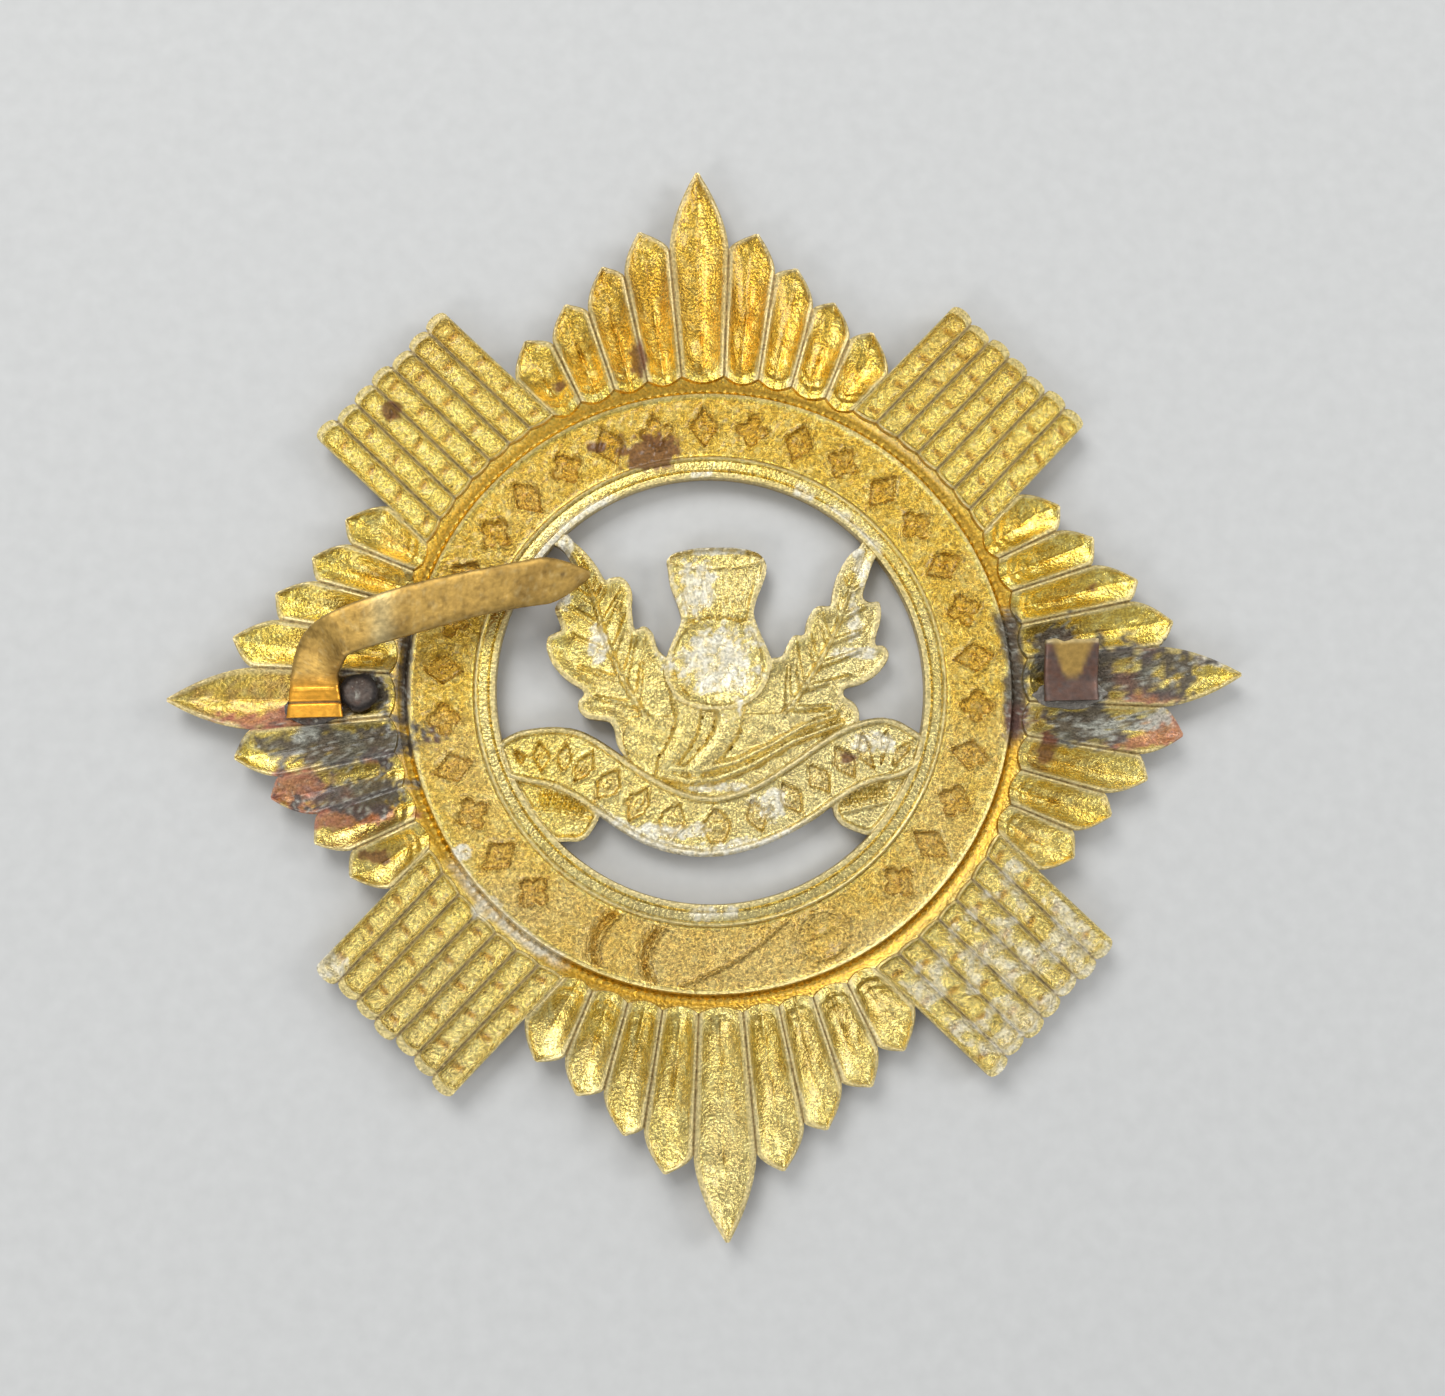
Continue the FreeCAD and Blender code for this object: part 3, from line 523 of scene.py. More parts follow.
def make_arms(material):
    """Four arms of seven half-round flutes, each flute broken into long cells."""
    mesh = Mesh()
    for number, turn in enumerate(ARM_TURNS):
        across = np.concatenate([index + FLUTE_SHARES for index in range(FLUTES)] + [[FLUTES]])
        flute = np.minimum(np.floor(across), FLUTES - 1)
        local = (across - flute) * 2 - 1
        across = (across - FLUTES / 2) * FLUTE_WIDTH
        rows = np.linspace(0, 1, 84)[:, None]
        nose = 1 - local ** 2
        outer = ARM_REACH - 0.42 + 0.42 * nose ** 0.5 + 0.12 * np.sin(flute * 2.1 + number)
        inner = np.sqrt(RAY_BASE ** 2 - across ** 2) - 0.14 * nose
        along = inner + (outer - inner) * (rows * 0.9 + 0.1 * (3 * rows ** 2 - 2 * rows ** 3))
        wide = np.broadcast_to(across, along.shape)
        inset = (1 - np.abs(local)) * FLUTE_WIDTH / 2
        from_end = np.minimum(outer - along - 0.38, along - inner)
        edge = np.minimum(inset, from_end * 0.9)
        round_end = step(0.08, 0.62, edge)
        hollow = 1 - unit(1 - (edge - 0.1) / 0.3) ** 2
        shift = np.mod(flute * 2.0, 3.0) * CELL_LENGTH / 3 + lattice(flute, number, 3) * 0.5
        phase = np.mod(along - inner + shift, CELL_LENGTH) / CELL_LENGTH
        bar = bell(phase - 0.5, 0.09) * step(0.2, 0.5, edge)
        oval = fall(0.35, 0.8, np.hypot((phase - np.round(phase)) * 1.9, local * 1.1))
        soft = (fractal(along, wide + number * 50, 0.22, 31) - 0.5) * 0.12
        crossed = 0.2 if number in (0, 2) else 0.16
        dimples = 0.09 * oval * round_end * (number in (0, 2, 3))
        pit = bell(phase - 0.5, 0.15) * fall(0.3, 0.75, np.abs(local + 0.2)) * step(0.2, 0.5, edge)
        top = BACK - FLUTE_DEPTH * hollow - crossed * pit + 0.06 * bar - dimples + soft * round_end
        top = top - 0.08 * fall(0.0, 0.12, edge)
        bottom = FRONT - 0.55 * np.sqrt(unit(1 - local ** 2)) * step(0, 0.4, from_end + 0.05)
        x, y = turn_xy(along, wide, turn)
        # painted shade in the grooves between flutes
        seam_shade = fall(0.02, 0.13, inset) * (np.abs(wide) < 5.3)
        rim = 0.85 * fall(0.05, 0.2, edge) + 0.95 * seam_shade
        rim = np.where(pit > 0.25, 2 + 0.85 * pit, rim)
        mesh.slab(x, y, top, bottom, rim)
    return make_piece("star_arms", mesh, material, paint_plate)


# ---- strap

# Radius and height round the strap, the inner rim's radii counted from the opening.
INNER_RIM_BACK = (
    (0, 1.38), (0.05, 1.47), (0.22, 1.5), (0.38, 1.48), (0.46, 1.38), (0.56, 1.5), (1, 1.52),
    (1.06, 1.5), (1.14, 1.66), (1.24, 1.7), (1.34, 1.64), (1.44, 1.47), (1.6, 1.44),
)
INNER_RIM_FRONT = ((0, 0.75), (0.1, 0.5), (0.3, 0.42), (1.1, 0.42), (1.3, 0.7))
STRAP_BACK = (
    *((OPENING + out, height) for out, height in INNER_RIM_BACK),
    (18.2, 1.44), (18.32, 1.5), (18.42, 1.62), (18.54, 1.64), (18.62, 1.5), (18.7, 0.95),
    (18.78, 0.86), (18.86, 0.93), (18.94, 0.88), (19.2, 0.98), (19.5, 1.17), (19.72, 1.34),
    (STRAP_EDGE, 1.42),
)
STRAP_FRONT = (
    *((OPENING + out, height) for out, height in INNER_RIM_FRONT),
    (18.3, 0.7), (18.55, 0.25), (18.85, 0.02), (19.3, 0.02), (19.7, 0.3), (STRAP_EDGE, 0.62),
)
STRAP_RADII = np.unique(np.round(np.concatenate([
    np.array([radius for radius, _ in STRAP_BACK]), np.arange(14.9, 18.2, 0.14),
]), 3))
STRAP_STEPS = 900
ORNAMENTS = 34


def profile(table, radius):
    places, heights = zip(*table)
    return np.interp(radius, places, heights)


def ornament(radius, degrees):
    """Sunk ornament of the strap's field: lozenges and four-petalled flowers by turns."""
    pitch = 360.0 / ORNAMENTS
    place = degrees / pitch
    number = np.floor(place)
    across = (place - number - 0.5) * math.radians(pitch) * FIELD_MIDDLE
    up = radius - FIELD_MIDDLE
    kind = np.mod(number, 2)
    lozenge = np.abs(across) / 0.95 + np.abs(up) / 1.35
    petal_angle = np.arctan2(up, across)
    petals = np.hypot(across, up) / (0.62 + 0.42 * np.abs(np.cos(2 * petal_angle)))
    shape = np.where(kind == 0, lozenge, petals)
    sunk = fall(0.8, 1.0, shape)
    lip = bell(shape - 1.08, 0.14)
    heart = bell(np.hypot(across, up), 0.36)
    return -0.24 * sunk + 0.13 * lip + 0.22 * heart, sunk


def strap_overlap(radius, degrees):
    """Strap's buckle and turned end at the badge's foot: two bars, a loop and a fold."""
    up = radius - FIELD_MIDDLE
    arc = math.radians(1) * radius
    field = step(14.7, 14.9, radius) * fall(18.05, 18.25, radius)
    height = np.zeros_like(radius)
    for middle in (243.5, 254.5):
        bar = (degrees - middle - 2.6 * (up / 1.8) ** 2) * arc
        height = height + (0.26 * bell(np.abs(bar) - 0.32, 0.26) - 0.12 * bell(bar, 0.2)) * field
    fold = (degrees - 262 - (18.2 - radius) * 7.2) * arc * 0.5
    height = height + 0.24 * bell(fold, 0.24) * field * step(260, 262, degrees)
    loop = np.hypot((degrees - 292.5) * arc / 1.75, up / 1.45)
    height = height + (0.22 * bell(loop - 0.95, 0.2) - 0.14 * fall(0.3, 0.75, loop)) * field
    tongue = bell(up + 0.1, 0.28) * step(287.5, 289, degrees) * fall(300, 301.5, degrees)
    return height + 0.12 * tongue * field


def make_strap(material):
    """Round strap: rims, stippled field with ornament, steep wall and pooled trough."""
    mesh = Mesh()
    degrees = (np.arange(STRAP_STEPS) * 360.0 / STRAP_STEPS)[:, None]
    radius = np.broadcast_to(STRAP_RADII, (STRAP_STEPS, len(STRAP_RADII)))
    spoke = np.broadcast_to(degrees, radius.shape)
    x, y = radius * np.cos(np.radians(spoke)), radius * np.sin(np.radians(spoke))
    field = step(14.75, 14.95, radius) * fall(18.05, 18.25, radius)
    plain = step(233, 237, spoke) * fall(303, 307, spoke)
    top = profile(STRAP_BACK, radius)
    pattern, sunk = ornament(radius, spoke)
    shown = field * (1 - plain)
    top = top + pattern * shown + strap_overlap(radius, spoke)
    top = top + (fractal(x, y, 0.25, 3) - 0.5) * 0.16 * field * (1 - 0.6 * sunk * shown)
    top = top + 0.06 * (np.sin(np.radians(spoke) * 225) * bell(radius - 18.86, 0.1))
    top = top + (noise(x, y, 3.5, 8) - 0.5) * 0.06 * (1 - field)
    bottom = np.maximum(profile(STRAP_FRONT, radius) + pattern * 1.3 * shown, 0.012)
    high = bell(radius - (OPENING + 1.24), 0.16) + bell(radius - 18.5, 0.2) * 0.8
    inner = fall(OPENING + 0.25, OPENING + 0.4, radius)
    rim = np.where(sunk * shown > 0.2, 2 + 0.32 * sunk, unit(high + inner * 0.8))
    mesh.slab(x, y, top, bottom, rim, closed=True)
    return make_piece("strap", mesh, material, paint_plate)


# ---- thistle spray and scroll

LEFT_LEAF = (
    (-9.9, 9.4), (-8.7, 9.9), (-8.3, 9.3), (-7.8, 8.9), (-7.2, 8.2), (-6.8, 7.6), (-6.4, 6.8),
    (-6.1, 7), (-5.4, 7.1), (-4.9, 6.6), (-4.7, 5.9), (-4.8, 5.1), (-4.7, 3.9), (-4.6, 3.7),
    (-4, 4), (-3.5, 3.5), (-3.4, 3), (-3.2, 2.4), (-2.9, 2.1), (-1.5, 1), (-1, -4),
    (-3.4, -5.2), (-5.2, -4.4), (-5.9, -3.4), (-6, -2.4), (-6.3, -1.9), (-7.1, -1.8), (-7.7, -1.7),
    (-8.2, -1.2), (-8.2, -0.6), (-7.8, -0.3), (-7.9, 0.1), (-8.6, 0.5), (-9.2, 1), (-9.8, 1.8),
    (-10.1, 2.7), (-10, 3.4), (-9.6, 3.6), (-9.1, 3.8), (-9.3, 4.4), (-9.6, 5.2), (-8.9, 6),
    (-8.6, 6.8), (-8.4, 7.7), (-8.6, 8.3), (-9, 8.9),
)
RIGHT_LEAF = (
    (9.9, 9.4), (10.9, 8.2), (10.4, 7.9), (10.1, 7.1), (9.8, 6.3), (9.5, 5.4), (10, 5.1), (10.6, 5.2),
    (10.7, 4.6), (10.6, 3.8), (10.3, 3), (10.2, 2.4), (10.8, 2.4), (11.1, 1.9), (10.9, 1.3),
    (10.2, 0.5), (9.3, 0), (8.2, -0.2), (8.1, -0.7), (8.8, -1.1), (9.1, -1.7), (9, -2.6),
    (5, -4.6), (1, -6.2), (-2, -5.8), (-1, -3), (1.5, 0), (3.7, 1.8), (4.4, 1.8),
    (4.7, 2.4), (4.9, 2.8), (5.2, 3.2), (5.9, 3.1), (6, 4), (6.4, 4.7), (6.8, 5), (7.6, 4.9),
    (7.7, 5.8), (8, 6.8), (8.5, 7.7), (9, 8.3), (9.5, 8.6),
)
HEAD = (
    (-2.5, 7.6), (-2.6, 8), (-2.1, 8.5), (-0.9, 8.75), (0.7, 8.8), (2.3, 8.7), (3.3, 8.3), (3.7, 7.6),
    (3.5, 6.7), (3, 5.6), (2.7, 4.6), (2.9, 3.9), (3.3, 2.9), (3.7, 2), (3.8, 1), (3, -0.6),
    (1.4, -1.4), (-0.6, -1.4), (-2.2, -0.8), (-3, 0.8), (-2.7, 2.1), (-2.3, 3), (-1.7, 4.2),
    (-1.8, 4.7), (-2, 5.4), (-2.4, 6.5),
)
SPRAY_BASE = (
    (-3.4, 0.4), (3.8, 0.8), (5.6, -1), (8.4, -2.2), (6.4, -3.9), (3.7, -5.5), (1, -6.7),
    (-1, -6.7), (-3.2, -5.8), (-5.2, -4.4), (-5.6, -2.6), (-4.4, -0.8),
)
SCROLL_TOP = (
    (-13.4, -3.3), (-12.6, -2.7), (-11.8, -2.35), (-10.8, -2.2), (-9.7, -2.15), (-8.7, -2.25),
    (-7.9, -2.5), (-7, -3), (-6, -3.7), (-5.1, -4.4), (-4.1, -5.1), (-3.1, -5.7), (-2.1, -6.2),
    (-1, -6.55), (0, -6.65), (1, -6.5), (2.5, -6), (3.7, -5.3), (5, -4.5), (6.3, -3.6),
    (7.8, -2.7), (9.2, -2.2), (10.4, -2.05), (11.4, -2.25), (12.3, -2.8), (13.4, -3.6),
)
SCROLL_BOTTOM = (
    (12.8, -5.2), (11.4, -5.9), (9.8, -6.1), (8.6, -6.6), (7.3, -7.4), (6, -8.3), (4.5, -9.1),
    (2.8, -9.8), (0.8, -10.3), (-1.1, -10.35), (-3, -10), (-4.7, -9.3), (-6.1, -8.4), (-7.3, -7.5),
    (-8.5, -6.6), (-9.8, -5.9), (-11.4, -5.6), (-12.8, -5.2),
)
LEFT_FOLD = (
    (-12.9, -4.6), (-11, -5.3), (-8.6, -6.2), (-7, -7.4), (-7.1, -7.9), (-7.4, -8.4), (-7.8, -8.95),
    (-8.3, -9.2), (-9.1, -9.15), (-9.9, -9.2), (-10.9, -8),
)
RIGHT_FOLD = (
    (12.9, -4.6), (11, -5.4), (8.6, -6.3), (7.2, -7.2), (7.3, -8), (7.7, -8.6), (8.5, -9),
    (9.6, -9.4), (10.9, -8),
)
MOTIF_GRID = 0.088
MOTIF_LIMIT = OPENING + 0.3
MOTIF_DROP = 0.42


def smooth_outline(points, rounds=2):
    """Corner-cutting that leaves a closed outline rounded."""
    outline = np.array(points, float)
    for _ in range(rounds):
        following = np.roll(outline, -1, axis=0)
        outline = np.stack([outline * 0.78 + following * 0.22, outline * 0.22 + following * 0.78], 1)
        outline = outline.reshape(-1, 2)
    return outline


def to_segments(x, y, points):
    """Distance to a polyline, and how far along it the nearest part lies, 0..1."""
    points = np.array(points, float)
    best, along = np.full(x.shape, 1e9), np.zeros(x.shape)
    lengths = np.hypot(*np.diff(points, axis=0).T)
    total, done = lengths.sum(), 0.0
    for start, end, length in zip(points[:-1], points[1:], lengths):
        if length == 0:
            continue
        dx, dy = (end - start) / length
        reach = np.clip((x - start[0]) * dx + (y - start[1]) * dy, 0, length)
        gap = np.hypot(x - start[0] - reach * dx, y - start[1] - reach * dy)
        along = np.where(gap < best, (done + reach) / total, along)
        best = np.minimum(gap, best)
        done += length
    return best, along


def inside(x, y, outline):
    """True where a point lies in a closed outline."""
    found = np.zeros(x.shape, bool)
    following = np.roll(outline, -1, axis=0)
    for (ax, ay), (bx, by) in zip(outline, following):
        if ay == by:
            continue
        crosses = (ay > y) != (by > y)
        found ^= crosses & (x < (bx - ax) * (y - ay) / (by - ay) + ax)
    return found


def depth_in(x, y, points, rounds=2):
    """Distance inside an outline, negative outside it."""
    outline = smooth_outline(points, rounds)
    closed = np.vstack([outline, outline[:1]])
    gap, _ = to_segments(x, y, closed)
    return np.where(inside(x, y, outline), gap, -gap)


def ridge_lines(x, y, lines, width):
    """Soft raised lines along several polylines."""
    height = np.zeros(x.shape)
    for line in lines:
        gap, along = to_segments(x, y, line)
        height = np.maximum(height, bell(gap, width * (1.15 - 0.5 * along)))
    return height


def leaf_veins(rib, lengths, spread):
    """Side veins that leave a midrib in pairs and point to its tip."""
    rib = np.array(rib, float)
    veins = []
    for number, length in enumerate(lengths):
        share = 0.16 + 0.72 * number / len(lengths)
        place = share * (len(rib) - 1)
        low = int(place)
        point = rib[low] + (rib[low + 1] - rib[low]) * (place - low)
        ahead = (rib[low + 1] - rib[low]) / np.hypot(*(rib[low + 1] - rib[low]))
        for side in (-1, 1):
            turned = turn_xy(ahead[0], ahead[1], side * spread)
            veins.append((tuple(point), (point[0] + turned[0] * length, point[1] + turned[1] * length)))
    return veins


LEFT_RIB = ((-3.4, -2.6), (-4.6, -0.9), (-5.7, 1.2), (-6.6, 3.7), (-7.1, 5.8), (-7.9, 7.6), (-8.8, 9.0))
RIGHT_RIB = ((3.4, -2.7), (5.0, -1.1), (6.6, 1.2), (7.9, 3.6), (8.9, 6.2), (9.8, 8.3))
STEMS = (
    ((-1.6, -0.5), (-1.45, -1.5), (-1.6, -2.5), (-2.1, -3.5), (-2.9, -4.6)),
    ((1.1, -1.0), (1.1, -1.9), (0.8, -2.8), (0.1, -3.8), (-1.1, -4.9)),
)
SWEEPS = (
    ((-3.3, -5.2), (-1.6, -5.7), (0.2, -5.6), (2.4, -4.8), (5.0, -3.4), (8.0, -2.4)),
    ((-2.6, -4.9), (-0.9, -5.1), (1.4, -4.6), (3.6, -3.6), (5.6, -2.5), (7.6, -1.9)),
)


def contour_mesh(x, y, level):
    """Triangles that fill level > 0 on a grid, their outer edge placed on level = 0."""
    points, lookup = [], {}

    def point(a, b):
        """Number of the point at grid corner a, or where level crosses 0 between a and b."""
        key = (min(a, b), max(a, b))
        if key not in lookup:
            share = 0 if a == b else level[a] / (level[a] - level[b])
            lookup[key] = len(points)
            points.append((x[a] + (x[b] - x[a]) * share, y[a] + (y[b] - y[a]) * share))
        return lookup[key]

    faces = []
    positive = level > 0
    filled = positive[:-1, :-1] | positive[1:, :-1] | positive[1:, 1:] | positive[:-1, 1:]
    for i, j in zip(*np.nonzero(filled)):
        ring = [(int(i + di), int(j + dj)) for di, dj in ((0, 0), (1, 0), (1, 1), (0, 1))]
        shape = []
        for here, following in zip(ring, ring[1:] + ring[:1]):
            if positive[here]:
                shape.append(point(here, here))
            if positive[here] != positive[following]:
                shape.append(point(here, following))
        faces += [(shape[0], shape[k], shape[k + 1]) for k in range(1, len(shape) - 1)]
    return np.array(points), np.array(faces)


def motif_heights(x, y):
    """Back height, edge mark, and distance inside the whole motif and inside its scroll."""
    low = BACK - MOTIF_DROP
    left, right, head, base = (
        depth_in(x, y, outline) for outline in (LEFT_LEAF, RIGHT_LEAF, HEAD, SPRAY_BASE)
    )
    scroll = depth_in(x, y, SCROLL_TOP + SCROLL_BOTTOM, 1)
    folds = np.maximum(depth_in(x, y, LEFT_FOLD), depth_in(x, y, RIGHT_FOLD))
    whole = np.maximum.reduce([left, right, head, base, scroll, folds])
    top, rim = np.full(x.shape, low), np.zeros(x.shape)

    def lay(where, height, mark):
        nonlocal top, rim
        top, rim = np.where(where, height, top), np.where(where, mark, rim)

    leaves = np.maximum(left, right)
    dish = step(0.22, 1.1, leaves) * 0.42
    ribs = ridge_lines(x, y, (LEFT_RIB, RIGHT_RIB), 0.3)
    veins = ridge_lines(
        x, y,
        leaf_veins(LEFT_RIB, (2.6, 2.9, 2.7, 2.3, 1.9, 1.3), 42)
        + leaf_veins(RIGHT_RIB, (2.6, 3.0, 2.8, 2.3, 1.8, 1.2), 42),
        0.34,
    )
    ripple = (fractal(x, y, 0.8, 21) - 0.5) * 0.13
    leaf_top = low + 0.02 - dish + 0.3 * ribs * step(0, 0.4, leaves) + 0.27 * veins * step(0.1, 0.5, leaves)
    leaf_top = leaf_top + ripple * step(0.15, 0.5, leaves)
    lay(leaves > 0, leaf_top, fall(0.16, 0.42, leaves) + 0.35 * ribs)

    on_base = (base > 0) & ~((leaves > 0.9) & (y > -1.6))
    furrow = 0.5 + 0.5 * np.sin(x * 2.2 + y * 5.4)
    lay(on_base, low - 0.3 + 0.14 * furrow + ripple, 0.1)
    for stem in STEMS:
        gap, along = to_segments(x, y, stem)
        width = 1.0 - 0.35 * along
        tube = np.sqrt(unit(1 - (gap / width) ** 2))
        lay(gap < width, low - 0.42 + 0.62 * tube + 0.02 * np.sin(gap * 14), 0.15)
    sweeps = ridge_lines(x, y, SWEEPS, 0.55)
    lay((sweeps > 0.02) & (whole > 0), np.maximum(top, low - 0.34 + 0.5 * sweeps), rim)

    bulb_gap = np.hypot((x - 0.45) / 2.75, (y - 1.65) / 2.75)
    tuft_low = 4.35 - 0.12 * (x - 0.5) ** 2 * 0.4
    on_head = head > 0
    calyx = low - 0.24 * step(0.25, 0.7, head)
    bulb_bowl = np.sqrt(unit(1 - bulb_gap ** 2))
    scale_u, scale_v = (x - 0.45) * 1.35 + y * 0.75, (x - 0.45) * -1.35 + y * 0.75
    scales = np.abs(np.sin(scale_u * 1.75)) * np.abs(np.sin(scale_v * 1.75))
    wisps = noise(x, y * 0.28, 0.26, 27) - 0.5
    bulb_top = low - 0.14 - 0.5 * bulb_bowl + 0.1 * scales + 0.16 * wisps + ripple * 0.6
    lay(on_head, np.where(bulb_gap < 1, bulb_top, calyx), rim)
    fan = (x - 0.5) / (2.0 + np.clip(y - 4.3, 0, 5) * 0.24)
    strands = 0.5 + 0.5 * np.sin(fan * 34 + noise(x, y, 0.7, 4) * 3)
    waist = bell(y - tuft_low, 0.2) * step(0.1, 0.3, head)
    tuft_top = low - 0.26 * step(0.2, 0.6, head) + 0.13 * strands * step(0.15, 0.4, head)
    lay(on_head & (y > tuft_low), tuft_top, rim)
    lay(on_head, top - 0.16 * waist, rim)
    mouth = np.hypot((x - 0.5) / 2.85, (y - 8.05) / 0.58)
    mouth_top = low - 0.34 + (fractal(x, y, 0.35, 6) - 0.5) * 0.22
    lay(on_head & (mouth < 1), mouth_top, rim)
    lip = bell(mouth - 1.08, 0.16) * (y > 6.5)
    lay(on_head, top + 0.12 * lip, fall(0.14, 0.38, head) + 0.5 * lip)

    ribs_across = 0.5 + 0.5 * np.sin((x + np.sign(x) * y * 0.3) * 18)
    roll = y + 6.75 + 0.2 * (9.3 - np.abs(x))
    rib_zone = fall(0.36, 0.6, np.abs(roll)) * step(7.6, 8.0, np.abs(x))
    rib_zone = rib_zone * fall(10.5, 11.0, np.abs(x))
    fold_top = low - 0.34 * step(0.2, 0.5, folds) + 0.26 * ribs_across * rib_zone
    fold_top = fold_top + 0.16 * bell(roll + 0.78, 0.24) * step(0.1, 0.4, folds)
    lay(folds > 0, fold_top, fall(0.14, 0.36, folds))

    lips = bell(scroll - 0.22, 0.22)
    panel = step(0.36, 0.5, scroll)
    _, run = to_segments(x, y, SCROLL_TOP)
    beat = run * 15
    cell = beat - np.floor(beat) - 0.5
    middle_gap = scroll - 1.75
    lozenge = np.abs(cell) / 0.34 + np.abs(middle_gap) / 1.05
    dot = bell(np.hypot(cell * 1.9, middle_gap), 0.34)
    pattern = -0.2 * fall(0.75, 1.0, lozenge) + 0.12 * bell(lozenge - 1.1, 0.22) + 0.2 * dot
    scroll_top = low + 0.1 + 0.1 * lips - 0.2 * panel + pattern * step(0.4, 0.6, scroll)
    scroll_top = scroll_top - 0.14 * fall(0.0, 0.08, scroll) + ripple * 0.45 * panel
    in_cell = fall(0.75, 1.0, lozenge) * (1 - dot) * step(0.4, 0.6, scroll)
    lay(scroll > 0, scroll_top, np.where(in_cell > 0.2, 2 + 0.22 * in_cell, bell(scroll - 0.16, 0.34)))
    top = top - 0.06 * fall(0.0, 0.1, whole)
    top = top - 0.1 * step(OPENING - 0.15, OPENING + 0.1, np.hypot(x, y))
    top = top + (fractal(x, y, 0.3, 29) - 0.5) * 0.06
    return top, np.where(rim < 2, unit(rim), rim), whole, scroll


def motif_front(top, scroll):
    """Front height, which stands forward where the back is hollow."""
    relief = 0.78 + 1.1 * (top - BACK + MOTIF_DROP) - 0.24 * step(0.05, 0.35, scroll)
    return np.clip(np.minimum(relief, top - 0.3), 0.02, None)


def make_motif(material):
    """Thistle, leaves and scroll as one boundary-following relief."""
    across = np.arange(-MOTIF_LIMIT - 0.2, MOTIF_LIMIT + 0.2, MOTIF_GRID)
    up = np.arange(-11.0, 11.4, MOTIF_GRID)
    x, y = np.meshgrid(across, up, indexing="ij")
    _, _, whole, _ = motif_heights(x, y)
    points, faces = contour_mesh(x, y, np.minimum(whole, MOTIF_LIMIT - np.hypot(x, y)))
    px, py = points.T
    top, rim, _, scroll = motif_heights(px, py)
    upper, lower = (np.stack([px, py, height], -1) for height in (top, motif_front(top, scroll)))
    mesh, count = Mesh(), len(points)
    mesh.add(np.vstack([upper, lower]), faces, np.concatenate([rim, np.full(count, FRONT_MARK)]))
    mesh.faces.append(faces[:, ::-1] + count)
    edges = np.vstack([faces[:, [0, 1]], faces[:, [1, 2]], faces[:, [2, 0]]])
    keys = {}
    for start, end in edges.tolist():
        if keys.pop((end, start), None) is None:
            keys[(start, end)] = True
    start, end = np.array(list(keys)).T
    mesh.faces.append(np.stack([end, start, start + count], -1))
    mesh.faces.append(np.stack([end, start + count, end + count], -1))
    return make_piece("thistle_and_scroll", mesh, material, paint_plate)


# ---- prongs

STRIP_HALF = 1.45
STRIP_THICKNESS = 0.55
LEVEL = 2.325
FOOT_X = -24.0
FOOT_END = -1.325
BEND_Y = 0.65
ELBOW = (3.1, 70.0, 2.2)
SWEEP = (62.0, 14.0, -1.6)
SECTION_SHARES = -np.cos(np.linspace(0, math.pi, 21))


def strip_station(run):
    """Place, heading and half-width of the left strip: run is 0..1 from its foot's end to
    the first bend, 1..2 round the elbow and 2..3 along the sweep."""
    if run < 1:
        return np.array([FOOT_X, FOOT_END + (BEND_Y - FOOT_END) * run, LEVEL]), 90.0, 1.7 - 0.25 * run
    place, heading = np.array([FOOT_X, BEND_Y, LEVEL]), 90.0
    for number, (radius, turn, rise) in enumerate((ELBOW, SWEEP)):
        part = float(unit(run - 1 - number))
        middle = math.radians(heading - turn * part / 2)
        chord = 2 * radius * math.sin(math.radians(turn * part / 2))
        place = place + np.array([chord * math.cos(middle), chord * math.sin(middle), rise * part])
        heading -= turn * part
    tip = float(unit((run - 2.81) / 0.19))
    width = STRIP_HALF * (1 + 0.03 * math.sin(run * 9)) * (1 - 0.88 * tip ** 1.5)
    return place, heading, width


def strip_centres(start, end, count):
    """Stations along part of the strip, with its bends eased and its direction at each."""
    runs = np.linspace(start, end, count)
    places, headings, halves, ahead = [], [], [], []
    for run in runs:
        reach = min(0.15, max(run, 0.01), max(3.0 - run, 0.01))
        window = np.clip(run + reach * np.array([-1, -0.5, 0, 0.5, 1]), 0.0, 3.0)
        near_places, near_headings, near_halves = zip(*(strip_station(float(near)) for near in window))
        places.append(sum(near_places) / len(window))
        headings.append(sum(near_headings) / len(window))
        halves.append(near_halves[2])
        step_ahead = near_places[-1] - near_places[0]
        ahead.append(step_ahead / np.linalg.norm(step_ahead))
    return zip(runs, places, headings, halves, ahead)


def make_strip(name, start, end, count, material):
    """Part of the left prong: a flat brass strip with rounded edges and a worked surface."""
    upper, lower, marks = [], [], []
    for run, place, heading, half, ahead in strip_centres(start, end, count):
        yaw = math.radians(heading)
        across = np.array([-math.sin(yaw), math.cos(yaw), 0.0])
        face = np.cross(ahead, across)
        face = face / np.linalg.norm(face)
        edge = np.abs(SECTION_SHARES)
        swell = STRIP_THICKNESS / 2 * unit(1 - edge ** 7) ** 0.4
        centre = place + across * (SECTION_SHARES[:, None] * half)
        dents = (fractal(centre[:, 0], centre[:, 1], 1.1, 91) - 0.5) * 0.05
        hump = 0.07 * math.exp(-((run - 2.13) / 0.05) ** 2)
        crest = 0.12 * math.exp(-((run - 0.82) / 0.16) ** 2) - 0.1 * math.exp(-((run - 0.46) / 0.05) ** 2)
        upper.append(centre + face * (swell * 0.94 + dents + hump * (1 - edge ** 4) - 0.02)[:, None]
                     + np.array([0, 0, crest]))
        lower.append(centre - face * (swell * 0.94)[:, None])
        marks.append(step(0.86, 1.0, edge))
    mesh = Mesh()
    mesh.shell(np.array(upper), np.array(lower), np.array(marks))
    return make_piece(name, mesh, material, paint_prong, 50)


